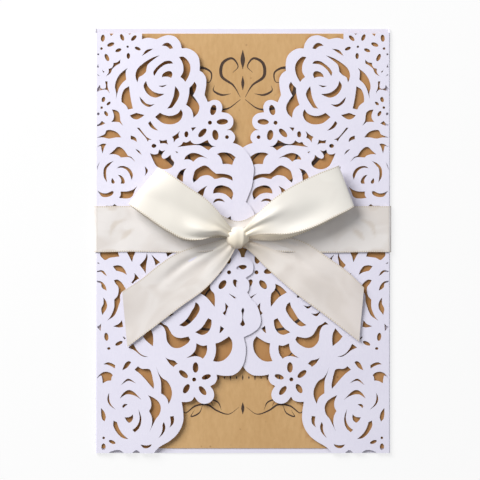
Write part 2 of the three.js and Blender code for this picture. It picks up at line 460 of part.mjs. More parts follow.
// One half of the card as an outline in X and Z: back panel, fold and flap of one sheet.
function halfSection(side, level, reach) {
  const place = ([fromFold, z]) => new THREE.Vector2(side * (card.width / 2 - fromFold), z);
  const quarter = Math.PI / 2;
  const outerArc = arc(foldOutside, foldAxis, foldOutside, foldOutside, 3 * quarter, quarter);
  const innerArc = arc(foldOutside, foldAxis, foldInside, foldInside, quarter, 3 * quarter);
  const under = flapUnderside(level, reach);
  const over = under.map(([fromFold, z]) => [fromFold, z + card.sheet]);
  const fromFold = [
    [card.width / 2, panelUnder],
    ...outerArc.map((point) => [point.x, point.y]),
    ...over,
    ...under.reverse(),
    ...innerArc.map((point) => [point.x, point.y]),
    [card.width / 2, panelTop],
  ];
  return new THREE.Shape(fromFold.map(place));
}

const cutFrom = foldAxis + foldInside / 2; // the cutters stop inside the fold, above the insert
const cutTo = bandTop + past;

function laceFlapHalf(side, level) {
  const edge = onCard(outlineOf(freeEdge), side);
  const reach = card.width / 2 - Math.min(...edge.map((point) => side * point.x)) + 1;
  let half = runAlongY(halfSection(side, level, reach), card.height, 0);

  const slab = new THREE.BoxGeometry(reach + 2 * past, card.height + past, cutTo - cutFrom);
  slab.translate(side * (card.width / 2 - reach / 2), 0, (cutTo + cutFrom) / 2);
  const keep = prism(edge, cutFrom - past, cutTo + past);
  half = half.subtract(toSolid(slab).subtract(keep));

  const drawn = [topRose, foldSprigs, foldRose, middleRose, lowerLeaves, centreRose, bottomRose, edgeNotches];
  const windows = [...drawn.flat().map(outlineOf), ...petals.map(petalOutline)];
  for (const outline of windows) half = half.subtract(prism(onCard(outline, side), cutFrom, cutTo));
  return half;
}

// The ribbon's band round the card, as a ring in X and Z that lies flat under the back panel.
function bandRing() {
  const foldX = card.width / 2 - foldOutside;
  const quarter = Math.PI / 2;
  const reach = Math.max(...freeEdge.map(([across]) => across)) * (card.width / lace.width);
  const stepDown = reach - card.width / 2 + clearance; // past the left flap's free edge
  const stepLength = 8;

  // One face of the ring: grow is 0 on the face toward the card and the ribbon's sheet on the other.
  const face = (grow) => {
    const lift = card.sheet + clearance + grow;
    const leftRun = flapUnderside(leftLevel, card.width / 2 + stepDown);
    const left = leftRun.map(([u, z]) => [u - card.width / 2, z + lift]);
    const right = flapUnderside(rightLevel, card.width / 2 - stepDown - stepLength);
    const rightSide = right.map(([u, z]) => [card.width / 2 - u, z + lift]).reverse();
    const wide = foldOutside + clearance + grow;
    const low = foldOutside + grow;
    return [
      ...arc(-foldX, foldAxis, wide, low, 3 * quarter, 2 * quarter),
      ...arc(-foldX, foldAxis, wide, wide, 2 * quarter, quarter).slice(1),
      ...[...left, ...rightSide].map(([x, z]) => new THREE.Vector2(x, z)),
      ...arc(foldX, foldAxis, wide, wide, quarter, 0),
      ...arc(foldX, foldAxis, wide, low, 0, -quarter).slice(1),
    ];
  };
  const outside = runAlongY(new THREE.Shape(face(ribbon.sheet)), ribbon.width, ribbon.aboveCentre);
  return outside.subtract(runAlongY(new THREE.Shape(face(0)), ribbon.width + 2 * past, ribbon.aboveCentre));
}

// Loops and tails leave the knot at an angle in plan. Each row is one line across the ribbon:
// distance from the knot, upper edge, lower edge, slant of the line, and height above the band.
const leftLoop = {
  degrees: 151.4,
  rows: [
    [3, 1.8, -1.8, 0, 3.4], [8, 3.4, -3.4, 0, 5], [13, 5.9, -8.2, 0, 6.2], [20, 8, -11.3, 0, 7],
    [29, 8.8, -11.4, -0.5, 7.3], [37, 9.6, -10.5, -1.2, 6.9], [42.5, 9.8, -10, -1.6, 5.7],
    [45.1, 9.8, -9.7, -1.7, 3.9], [42.5, 9.4, -10.4, -1.6, 2], [36, 8.6, -11.3, -1.2, 1.1],
    [27, 7.6, -12.2, -0.5, 0.8], [18, 6, -11.3, 0, 0.8], [10, 4, -5.5, 0, 1.1], [3, 1.8, -1.8, 0, 1.6],
  ],
};
const rightLoop = {
  degrees: 25.5,
  rows: [
    [3, 1.8, -1.6, 0, 3.4], [8, 4, -2.6, 0, 5], [13, 6, -4.6, 0, 6.2], [20, 8.2, -7.8, 0, 7],
    [30, 9.7, -9.5, 0, 7.3], [41, 9.9, -9.6, 0.4, 6.9], [47.5, 9.4, -9.6, 0.6, 5.7],
    [50.7, 9.2, -9.3, 0.7, 3.9],
    [47.5, 9, -9.9, 0.6, 2], [39, 9, -10.2, 0.4, 1.1], [28, 8.5, -10.3, 0, 0.8], [18, 6.6, -9.3, 0, 0.8],
    [10, 4, -5.8, 0, 1.1], [3, 1.8, -1.6, 0, 1.6],
  ],
};
const leftTail = {
  degrees: 216.4,
  rows: [
    [3, 2.4, -2.6, 0, 1.8], [9, 4.6, -5.4, 0, 1.2], [16, 7.4, -7.6, 0, 0.7], [25, 10.2, -9.2, 0, 0.4],
    [36, 10.6, -9.1, -1, 0.6], [47, 10.2, -9.3, -3, 0.1], [59.1, 10.8, -9.4, -6.1, -0.1],
  ],
};
const rightTail = {
  degrees: -31.5,
  rows: [
    [3, 2.2, -1.8, 0, 1.8], [9, 6, -2.6, 0, 0.9], [16, 10.4, -4.4, 0, 0.3], [25, 13.2, -6, 0.5, 0],
    [36, 12.8, -7.6, 1, 0.3], [48, 12, -8.8, -1, 0.2], [61.6, 9.9, -10.7, -5.1, -0.1],
  ],
};

// The two edges of a strip as smooth curves in space; away points along it, upper across it.
function stripEdges({ degrees, rows }, upperSign) {
  const turn = THREE.MathUtils.degToRad(degrees);
  const away = new THREE.Vector3(Math.cos(turn), Math.sin(turn), 0);
  const upper = new THREE.Vector3(-away.y, away.x, 0).multiplyScalar(upperSign);
  const knot = new THREE.Vector3(bow.knotX, bow.knotY, bandTop);
  const tallest = 7.3; // height of the highest row above the band, as the rows are written
  const edgePoint = (distance, across, height) => {
    const lifted = knot.clone().addScaledVector(away, distance).addScaledVector(upper, across);
    lifted.z += height > 0 ? (height * bow.loopHeight) / tallest : height;
    return lifted;
  };
  const one = rows.map(([s, up, , slant, z]) => edgePoint(s + slant, up, z));
  const other = rows.map(([s, , down, slant, z]) => edgePoint(s - slant, down, z));
  return [new THREE.CatmullRomCurve3(one), new THREE.CatmullRomCurve3(other)];
}

// A strip of ribbon with a closed skin: two faces one sheet apart, and its four edges.
function ribbonStrip(strip, upperSign) {
  const [one, other] = stripEdges(strip, upperSign);
  const long = Math.round((strip.rows.length - 1) * facets.alongRibbon);
  const wide = facets.acrossRibbon;
  const onSheet = (i, j) => {
    const a = one.getPoint(i / long);
    const b = other.getPoint(i / long);
    return a.lerp(b, j / wide);
  };
  const clampTo = (value, most) => Math.min(Math.max(value, 0), most);
  const half = ribbon.sheet / 2;
  const faces = [[], []];
  for (let i = 0; i <= long; i += 1) {
    for (let j = 0; j <= wide; j += 1) {
      const along = onSheet(clampTo(i + 1, long), j).sub(onSheet(clampTo(i - 1, long), j));
      const across = onSheet(i, clampTo(j + 1, wide)).sub(onSheet(i, clampTo(j - 1, wide)));
      const out = along.cross(across).normalize().multiplyScalar(half);
      const middle = onSheet(i, j);
      faces[0].push(middle.clone().add(out));
      faces[1].push(middle.clone().sub(out));
    }
  }
  const points = [...faces[0], ...faces[1]];
  const at = (face, i, j) => face * faces[0].length + i * (wide + 1) + j;
  const triangles = [];
  const quad = (a, b, c, d) => triangles.push(a, b, c, a, c, d);
  for (let i = 0; i < long; i += 1) {
    for (let j = 0; j < wide; j += 1) {
      quad(at(0, i, j), at(0, i + 1, j), at(0, i + 1, j + 1), at(0, i, j + 1));
      quad(at(1, i, j), at(1, i, j + 1), at(1, i + 1, j + 1), at(1, i + 1, j));
    }
    quad(at(0, i, 0), at(1, i, 0), at(1, i + 1, 0), at(0, i + 1, 0));
    quad(at(0, i + 1, wide), at(1, i + 1, wide), at(1, i, wide), at(0, i, wide));
  }
  for (let j = 0; j < wide; j += 1) {
    quad(at(0, 0, j + 1), at(1, 0, j + 1), at(1, 0, j), at(0, 0, j));
    quad(at(0, long, j), at(1, long, j), at(1, long, j + 1), at(0, long, j + 1));
  }
  const geometry = new THREE.BufferGeometry().setFromPoints(points);
  geometry.setIndex(triangles);
  return toSolid(geometry);
}

// The knot: a rounded, slightly square lump of ribbon that sits in the band and holds every strip's root.
function knotLump() {
  const geometry = new THREE.SphereGeometry(1, facets.knotAround, facets.knotUp);
  const position = geometry.attributes.position;
  const squareness = 0.75;
  const half = bow.knotHeight / 2;
  const centreZ = bandTop - ribbon.sheet / 2 + half;
  const shaped = (value) => Math.sign(value) * Math.abs(value) ** squareness;
  for (let index = 0; index < position.count; index += 1) {
    const x = bow.knotX + bow.knotHalfX * shaped(position.getX(index));
    const y = bow.knotY + bow.knotHalfY * shaped(position.getY(index));
    position.setXYZ(index, x, y, centreZ + half * shaped(position.getZ(index)));
  }
  return toSolid(geometry);
}

function satinRibbon() {
  const strips = [[leftLoop, -1], [rightLoop, 1], [leftTail, -1], [rightTail, 1]];
  let tied = bandRing().add(knotLump());
  for (const [strip, upperSign] of strips) tied = tied.add(ribbonStrip(strip, upperSign));
  return toGeometry(tied);
}

function cardJacket() {
  return toGeometry(laceFlapHalf(-1, leftLevel).add(laceFlapHalf(1, rightLevel)));
}

function insertCard() {
  const wide = card.width - 2 * insert.sideMargin;
  const tall = card.height - 2 * insert.endMargin;
  return new THREE.BoxGeometry(wide, tall, insert.sheet).translate(0, 0, panelTop + insert.sheet / 2);
}

function piece(name, geometry, color, roughness) {
  const mesh = new THREE.Mesh(geometry, new THREE.MeshStandardMaterial({ color, roughness, metalness: 0 }));
  mesh.name = name;
  return mesh;
}

const group = new THREE.Group();
group.add(
  piece("card_jacket", cardJacket(), 0xe6e3f2, 0.45),
  piece("insert_card", insertCard(), 0xcfa777, 0.85),
  piece("satin_ribbon", satinRibbon(), 0xf3eee6, 0.3),
);

export default group;
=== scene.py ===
import math
import bmesh
import bpy
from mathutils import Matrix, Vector, noise
from mathutils.geometry import delaunay_2d_cdt


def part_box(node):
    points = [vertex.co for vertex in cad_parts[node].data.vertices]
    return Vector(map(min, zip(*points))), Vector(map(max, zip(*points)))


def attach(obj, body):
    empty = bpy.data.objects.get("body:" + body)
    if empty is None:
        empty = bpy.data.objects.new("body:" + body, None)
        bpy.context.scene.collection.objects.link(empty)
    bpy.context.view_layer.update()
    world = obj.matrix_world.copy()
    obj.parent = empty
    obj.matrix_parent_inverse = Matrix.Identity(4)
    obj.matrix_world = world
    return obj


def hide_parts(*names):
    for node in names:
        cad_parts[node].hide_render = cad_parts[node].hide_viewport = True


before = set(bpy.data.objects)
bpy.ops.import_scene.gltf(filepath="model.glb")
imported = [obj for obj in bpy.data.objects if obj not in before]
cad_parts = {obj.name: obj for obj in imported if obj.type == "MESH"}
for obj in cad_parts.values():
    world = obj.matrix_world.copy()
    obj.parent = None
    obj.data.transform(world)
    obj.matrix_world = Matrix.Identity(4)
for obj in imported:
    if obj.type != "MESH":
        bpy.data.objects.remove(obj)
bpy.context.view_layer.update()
print("frame loaded")

mm = 0.001

# sizes shared with the solids, in mm, +Y to the top of the card
sheets = {
    "cardWidth": 125, "cardHeight": 180, "paper": 0.3, "insert": 0.3, "ribbon": 0.3, "clearance": 0.3,
    "ribbonWidth": 19.5, "bandAboveCentre": 5,
    "topMargin": 1.7, "spring": 0.6, "springEnd": 46,
}
panelUnder = sheets["ribbon"]
panelTop = panelUnder + sheets["paper"]
insertTop = panelTop + sheets["insert"]
foldInside = (sheets["insert"] + sheets["clearance"]) / 2
foldOutside = foldInside + sheets["paper"]
foldAxis = panelTop + foldInside
foldUnder = foldAxis + foldInside
rightLevel = foldUnder + sheets["spring"]
leftLevel = rightLevel + sheets["paper"] + sheets["clearance"]
halfWidth = sheets["cardWidth"] / 2
halfHeight = sheets["cardHeight"] / 2

# The lace of one flap: first number from the fold, second from the bottom edge, in mm.
# A point marked tip is a sharp corner; the points between two tips lie on one smooth curve.
tip = "tip"
petals = [
    # sprigs beside the fold: centre, half length, half width, turn in degrees
    [3.15, 176, 1.5, 0.85, 84], [6.5, 173.3, 1.6, 0.8, 22], [4.9, 167.8, 1.65, 0.8, 115],
    [2.55, 171.6, 0.55, 0.55, 0],
    [11.35, 176.3, 1.5, 0.75, 114], [16.3, 176, 1.5, 0.75, 46], [17.95, 171.55, 1.35, 0.65, -25],
    [14, 168.45, 1.27, 0.72, 90], [9.75, 170.85, 1.35, 0.7, 22], [13.7, 172.35, 0.5, 0.5, 0],
    [3.4, 150, 1.15, 0.75, 75], [5.6, 148.3, 1, 0.55, 41], [4.55, 144, 1.25, 0.65, 122],
    [2.65, 146.55, 0.55, 0.55, 0],
    [4.65, 49.35, 1.7, 0.88, 97], [10, 46.6, 1.7, 0.75, 27], [5.7, 44.4, 0.7, 0.55, 0],
    [7.1, 4.75, 1.5, 0.7, 157], [3.45, 2.7, 1.4, 0.9, 90], [3.5, 6.5, 0.55, 0.55, 0],
    [24.85, 130.3, 1, 0.85, 0],
    # blossoms on the free edge
    [50, 145.5, 2.2, 1.25, 77], [53.85, 140.5, 2.4, 1.2, 4], [50.9, 134.9, 2.2, 1.3, 100],
    [45.4, 135.8, 2.3, 1.1, 47], [48.6, 140.1, 0.85, 0.85, 0], [55.8, 134, 0.8, 0.8, 0],
    [38.6, 135.2, 1.3, 0.85, 88],
    [53.9, 71.5, 2.2, 1.25, 52], [59.7, 71.9, 2, 1.1, -60], [62, 78.8, 2.2, 1, 10],
    [56.3, 82.5, 2.2, 1.2, 95], [51.4, 77.3, 2.2, 1.2, 165], [56.7, 76.7, 0.85, 0.85, 0],
    [42.5, 36.4, 2.2, 1.2, 90], [37.4, 33.6, 2.3, 1.1, 140], [47.05, 32.4, 2, 1, 20],
    [38.6, 27.4, 2.15, 1.15, 60], [45.5, 26.6, 2.25, 1.1, 128], [41.9, 31.3, 0.85, 0.85, 0],
    [39, 66.4, 0.6, 0.5, 0],
]

topRose = [
    [[10.6, 166.9, tip], [10.5, 165.3, tip], [8.6, 164.2], [7.2, 162.9], [6.5, 161.3], [4.4, 159.7, tip],
     [5.3, 160.9], [5.7, 161.9], [5.6, 163, tip], [6.9, 163.4], [7.5, 164.3], [7.7, 165.5, tip],
     [9.3, 165.8]],
    [[13.8, 163.4, tip], [12.95, 162.1], [13.05, 158.4, tip], [11.3, 156.8], [10.1, 154.95], [9.4, 152.9],
     [8.65, 150.2, tip], [8.85, 152.5], [8.3, 155.4], [8.85, 158], [10.1, 160.3], [11.9, 162.1]],
    [[14.3, 155.6, tip], [14.7, 152.3], [15.2, 149.3], [15.9, 146.15, tip], [13.9, 145.7, tip],
     [13.1, 147.3], [11.1, 148.95, tip], [11.05, 150.5], [11.4, 152.5], [12.3, 154.3]],
    [[24.7, 171.5, tip], [21.7, 170.9], [19.7, 168.4, tip], [22.2, 169.9]],
    [[27.3, 168.7, tip], [24.2, 167.6], [20.5, 165.4], [17.9, 162.95], [17.05, 160.5], [17.3, 158.6],
     [17.9, 157.2, tip], [18.5, 159.3], [20.1, 160.3], [21.5, 161.6, tip], [22.2, 164.6], [24.4, 166.6]],
    [[24.95, 159.9, tip], [24.6, 161.3], [25.5, 162.95], [27.7, 165], [29.8, 166.2], [32.1, 166.2],
     [33, 165.2, tip], [29.6, 164.7], [26.7, 162.5], [25.5, 160.7]],
    [[28.2, 159.3, tip], [28.5, 160.5], [29.6, 161.5], [31.05, 162], [32.1, 161.8], [32.7, 160.7],
     [32.2, 159.05, tip], [31.05, 159.5], [29, 159.6]],
    [[26.7, 155.7, tip], [28.6, 155.85], [30.5, 156.2, tip], [28.6, 155.2]],
    [[21.5, 157.9, tip], [20.5, 155.8], [21.4, 153.3], [23.2, 151.5], [25.5, 150.75], [27.5, 151.3],
     [29.3, 152.3, tip], [26.3, 152.6], [24, 153.7], [22.2, 155.8]],
    [[18.7, 151.15, tip], [19.5, 148.95], [21.15, 147.4], [22.8, 146.8], [25.3, 148, tip], [23.2, 147.8],
     [21.6, 148.3], [20.3, 149.5]],
    [[33.9, 155.6, tip], [35.15, 153.9], [35.7, 152.3], [35.15, 150.4], [33.5, 147.7], [32.5, 146.5],
     [30.5, 146.1, tip], [31.7, 147.7], [33.1, 151], [33.4, 152.3]],
    [[35.5, 167.9, tip], [37.2, 168.1], [38.85, 166.85], [40.1, 164.8], [40.3, 162.5], [39.5, 159.7],
     [38.2, 157.4, tip], [37.2, 158.6], [36.1, 159.5, tip], [37.2, 161.5], [37.3, 164], [36.6, 166.2]],
    [[42.1, 157.5, tip], [42.9, 155.9], [42.5, 153.8], [41.4, 151.6, tip], [42.9, 149.5], [44.1, 147],
     [43.5, 144.2], [41.6, 142.2, tip], [41.2, 144.6], [40.2, 146.4], [38.5, 147.7, tip], [39.3, 150.1],
     [39.8, 152.6], [39.9, 154.8, tip], [41.1, 156.1]],
    [[28.2, 172.8, tip], [29.6, 173.8], [31, 173.9], [32.2, 173], [33, 171.6, tip], [31.6, 171.3, tip],
     [30.3, 172.4]],
    [[25.3, 142.5, tip], [27.4, 144.3, tip], [29, 143.5], [31.05, 143], [33.1, 143.2], [35.15, 144.2],
     [36.3, 145.8, tip], [37, 144.2], [36.8, 142.6], [35.8, 140.95], [33.7, 139.7], [31.5, 139.4],
     [29, 139.8], [27.7, 140.5]],
    [[14.6, 143.2, tip], [17.3, 144.3, tip], [20.85, 143.4, tip], [19.1, 142.1], [17.5, 141.5],
     [15.8, 142]],
]

foldSprigs = [
    [[4.15, 157.7, tip], [5.15, 157.7, tip], [5.2, 155.3], [6.1, 152.5, tip], [4.9, 154], [3.4, 154.2],
     [1.3, 153.5], [0.6, 153.3, tip], [0.7, 154.6, tip], [1.9, 156.2, tip], [2.2, 154.9], [3.4, 154.5],
     [4.4, 155]],
    [[0.5, 163.6, tip], [1.1, 164.9, tip], [1.5, 163.6, tip]],
    [[2.7, 140.9, tip], [4.2, 139.9, tip], [2.6, 139.1], [0.5, 138.6, tip], [0.5, 139.2, tip],
     [1.9, 139.9]],
    [[7, 145.7, tip], [8.6, 145.5], [10, 144.5], [10.45, 142.6], [10.6, 141], [11.8, 138.8, tip],
     [10.1, 140.4, tip], [8.4, 140.5], [6.7, 140.5, tip], [7.6, 141.6], [7.9, 143], [7.6, 144.4]],
    [[4.8, 136.9], [6.8, 137], [9.2, 136], [11, 133.9, tip], [8.6, 133.9], [5.8, 133.4], [3.2, 133.9],
     [0.5, 133.8, tip], [2, 134.4], [3.9, 135.3]],
    [[0.5, 129.6, tip], [2.2, 130.9], [3.4, 131.3], [4.6, 131.1, tip], [3.8, 129.7], [3, 127.1, tip],
     [2.6, 128.8], [2.2, 130.3], [1.2, 130]],
    [[5.8, 126.7, tip], [7.8, 128.4], [9.3, 129.8], [10.5, 129.8], [12.1, 128.6], [13.15, 127.2],
     [13.8, 126.2], [15.2, 125.6], [16.95, 123.5, tip], [14.6, 125.4], [10.8, 125.4, tip], [9.9, 126.2],
     [7.8, 126.8]],
    [[15, 134.7, tip], [16.4, 134.2], [17.3, 133.4], [17.6, 132, tip], [16.4, 132.7], [15, 133.15, tip]],
    [[16.95, 129.05, tip], [18.5, 128.2], [19.6, 126.5, tip], [18.1, 127.7]],
    [[23.3, 140.85, tip], [22.4, 139.9, tip], [23.4, 138.3], [24.85, 137.3], [26.7, 136.75, tip],
     [25.05, 138.3], [24, 139.7]],
    [[17.6, 138, tip], [18.6, 138, tip], [20.2, 135.9], [22, 133.9], [23.9, 132.9, tip],
     [22.7, 132.9, tip], [22.2, 132.1, tip], [21.6, 133.4], [19.9, 135.4]],
    [[27.1, 132.8, tip], [28.6, 132.5], [30.3, 132.9, tip], [30.4, 132], [30.9, 130.8, tip], [29.9, 131.3],
     [27.5, 131.4, tip]],
]

foldRose = [
    [[7.9, 124, tip], [5.15, 122.7], [3.7, 120.85], [3.4, 118.95], [3.6, 117.1], [4.95, 114.85, tip],
     [4.64, 116.9], [4.54, 118.95], [4.95, 121], [5.8, 121.9], [6.8, 123.1]],
    [[9.05, 120.85, tip], [10.5, 121.7], [12.3, 121.7], [14.2, 120.85], [15.2, 119.8], [15.9, 117.9],
     [15.4, 115.9, tip], [15, 117.1], [14.2, 118.95], [13.15, 120.2], [11.3, 121.05]],
    [[20.95, 121.7, tip], [22.3, 119.8], [20.85, 117.4, tip], [21.3, 118.95]],
    [[7.1, 116.7, tip], [8.2, 114.95], [7.8, 114.3], [6.9, 114.6], [6.8, 115.9]],
    [[9.5, 118, tip], [10.7, 117.8], [11.9, 116.7], [12.5, 115.05], [12.2, 114.3, tip], [10.8, 114.3, tip],
     [11, 115.7], [10.4, 117.1]],
    [[0.85, 111.3, tip], [2.7, 110.4], [4.7, 110.2], [7.2, 111.15], [7.8, 110.85, tip], [7.4, 109.8],
     [6, 108.9], [4.1, 108.6], [2.7, 108.9], [1.7, 110.1]],
    [[10.7, 110.95, tip], [13.8, 111.05], [16, 111.8], [17.7, 113.2, tip], [16.6, 111.15], [15.8, 109.1],
     [14.8, 108.3], [12.5, 108], [10, 108.3, tip], [10.7, 109.3]],
    [[4.3, 104.9, tip], [7.4, 105], [8.1, 105.7, tip], [9.5, 104.6, tip], [8.8, 103.2], [6, 102.9]],
    [[6, 91, tip], [7.2, 97.6], [13.8, 99.6, tip], [8.9, 96.2]],
    [[10.8, 90.2, tip], [12.4, 93.9], [16.5, 95.2, tip], [13.9, 92]],
]

middleRose = [
    [[40.6, 138, tip], [42.8, 138.2, tip], [41.9, 137.3], [41.3, 136.5, tip]],
    [[35.9, 136.6, tip], [35.3, 135], [35.6, 133.8, tip], [34.2, 133], [33.3, 131.7, tip], [33.1, 133.3],
     [32.5, 134.1, tip], [34.2, 135.1]],
    [[34.7, 129.8, tip], [36.4, 130.7], [37.3, 132, tip], [38.6, 131.7], [40.3, 132.6, tip], [40.9, 131.7],
     [42.1, 131.1], [44.2, 131.2], [47.6, 132.85, tip], [48.2, 131.6], [49.5, 130.4], [51.15, 130.1, tip],
     [49.7, 129.8], [48, 128.4, tip], [44.6, 130.4], [42.1, 130.6], [37.2, 130.1]],
    [[33.9, 128.1, tip], [35.15, 127.6, tip], [34.5, 127.2, tip]],
    [[37.7, 124.4, tip], [38.2, 125.6], [39.7, 126.8], [41.3, 127.3], [43.4, 127], [47.6, 124.95, tip],
     [45.2, 125.6], [43.4, 125.15], [41.5, 123.6, tip], [40.5, 124.3], [39.05, 124.6]],
    [[51.6, 126.8, tip], [53, 127.4], [55.05, 127.5], [57.3, 127], [59.6, 125.4, tip], [58.7, 124.1],
     [58.2, 122.2, tip], [56.3, 122.6], [54, 122.6, tip], [53.6, 124.3], [52.8, 125.8]],
    [[23.2, 127.2, tip], [24.8, 126.7], [26.4, 127], [27.1, 128.7, tip], [28.2, 128.1], [29.7, 128.5, tip],
     [28.5, 127], [28.1, 125.9], [28.8, 124.9], [30, 125.1], [31.9, 126.5, tip], [32.2, 125],
     [33.4, 123.3], [32.8, 121.6], [30.5, 120.5], [28, 120.6], [25.8, 121.9], [24.4, 124.4]],
    [[38.6, 120.8, tip], [36.2, 119.8], [34.85, 117.9], [34.5, 116.7, tip], [35.6, 115.9],
     [37.1, 114.95, tip], [37.2, 116.9], [37.6, 119.15]],
    [[46.4, 122], [47.9, 121.3], [49.5, 119.8], [51.15, 118.5, tip], [53.6, 118.5], [56.1, 118.1],
     [57.9, 117.1], [58.3, 115.5, tip], [56.5, 116.3], [54.2, 116.9], [50.5, 116.3], [49.7, 117],
     [48.1, 117.8], [46.4, 117.8], [44.6, 117.2], [43.15, 115.9], [41.7, 114.7, tip], [41.3, 116.1],
     [41.7, 118.1], [42.3, 119.8], [44.4, 121.3]],
    [[47.4, 113.4, tip], [45, 112], [43.3, 110.5, tip], [45.4, 108.7, tip], [45.9, 109.9], [46.4, 111.8]],
    [[49.9, 110.1, tip], [50.2, 111.6], [51.4, 113.1], [53.2, 113.6], [55.3, 113.2], [57.3, 112.2],
     [58.4, 110.3], [57.8, 107.4, tip], [56.7, 108.5], [55.05, 109.8], [52.6, 110.4]],
    [[49.9, 106, tip], [50.7, 107.5], [52.2, 108], [53.8, 107.6], [54.85, 106.5, tip], [53.2, 106.95],
     [51.6, 106.85]],
    [[55, 99, tip], [57.4, 100.5, tip], [57.6, 99.2], [58.5, 97.1, tip], [56, 98]],
]

lowerLeaves = [
    [[2, 84.1], [2.6, 86], [6, 86.6], [9.2, 85.6], [10.2, 83.4, tip], [7.8, 83.1], [6, 82.8], [4.1, 81.9],
     [2.9, 82.8]],
    [[13.6, 85.3], [15.2, 85.9], [16.8, 85.3], [16.1, 83.2], [15.6, 81, tip], [14.6, 83]],
    [[21.8, 84.95, tip], [22.2, 83.4], [21.8, 81.15], [21.5, 78.7], [21.4, 76.3, tip], [20.3, 77.9],
     [18.8, 79.8, tip], [20.3, 81.4], [21.4, 83]],
    [[23.7, 84.3, tip], [25.5, 82.6], [27.5, 81, tip], [25.5, 79.6, tip], [25.15, 81.15], [24.6, 82.6]],
    [[29.9, 85.3, tip], [33.7, 85.4, tip], [32.2, 84.5], [30.6, 83.3, tip]],
    [[0.5, 77.2, tip], [2.6, 77.6], [3.7, 77], [4.9, 75.1, tip], [3.5, 76], [2.4, 76.9], [0.5, 76.7, tip]],
    [[7.4, 79.3, tip], [9.3, 79.7], [11.1, 79.3], [12.5, 77.7], [13.4, 75.6, tip], [11.7, 76.6],
     [8.85, 77.4, tip], [8, 78.5]],
    [[16.5, 76.5, tip], [18.6, 74.2, tip], [17.05, 73.15], [15.8, 71.9, tip], [15.3, 72.4, tip],
     [16.4, 74], [16.7, 75.2]],
    [[0.5, 73.2, tip], [2.6, 72.7], [4.2, 71], [4.8, 68.9, tip], [3.2, 69.8], [2.6, 70.6], [2.4, 71.9],
     [0.6, 72.6, tip]],
    [[7.8, 73.4, tip], [9.3, 73.6], [11.1, 72.4], [12.95, 69.6, tip], [11.3, 68.4], [10.5, 66.8],
     [10.5, 64.7], [9.8, 62.3], [9.05, 60.2], [8, 58.3], [5.05, 56.2, tip], [6.4, 57.9], [7.4, 60],
     [8, 62], [8, 65.15, tip], [9.3, 66.6], [9.8, 68.4], [9.7, 70.5], [8.6, 71.9]],
    [[3.4, 66, tip], [4.5, 64.5], [4.95, 62.9], [4.7, 61.3], [2.9, 58.6, tip], [2.5, 61.3], [3.4, 63.3]],
    [[11.3, 56.4, tip], [11.8, 53.6, tip], [10.1, 53.3], [7.6, 53.8, tip], [9.9, 54.85]],
    [[2.4, 54.9, tip], [1.7, 54.2], [0.5, 53.5, tip], [2.2, 51.8, tip]],
    [[23.3, 53, tip], [24.3, 50.7], [24.6, 48.3], [24.4, 45.4, tip], [21.6, 47.7], [20.2, 49.5, tip],
     [21.6, 51]],
    [[14, 44.8, tip], [16.1, 46.4, tip], [17.05, 44.6], [18.7, 42.5], [20.3, 41.5], [22.5, 40.9, tip],
     [20.3, 41], [18.7, 41.9], [16.85, 43.4], [15.4, 44.2]],
    [[43.8, 68.2, tip], [46.3, 70.6], [48.7, 71.9, tip], [48.7, 70.1], [49.3, 68.85], [50.3, 67.8],
     [50.7, 65.4], [50.6, 62.1, tip], [47.05, 66.2]],
    [[42.5, 64.1, tip], [43.7, 63.1], [44.3, 61.3], [44.1, 60.4], [42.95, 58.3], [41.3, 56.3],
     [39.7, 54.85], [37.8, 53.8], [35.5, 54.3, tip], [37.2, 55.5], [39.05, 57.3], [41.3, 61],
     [41.9, 61.9]],
    [[33.5, 59.2, tip], [31.2, 58.1], [29.3, 60.4, tip], [31.4, 59.2]],
    [[36.8, 62.7, tip], [34.8, 61.3], [32.8, 63, tip], [34.8, 62.3]],
]

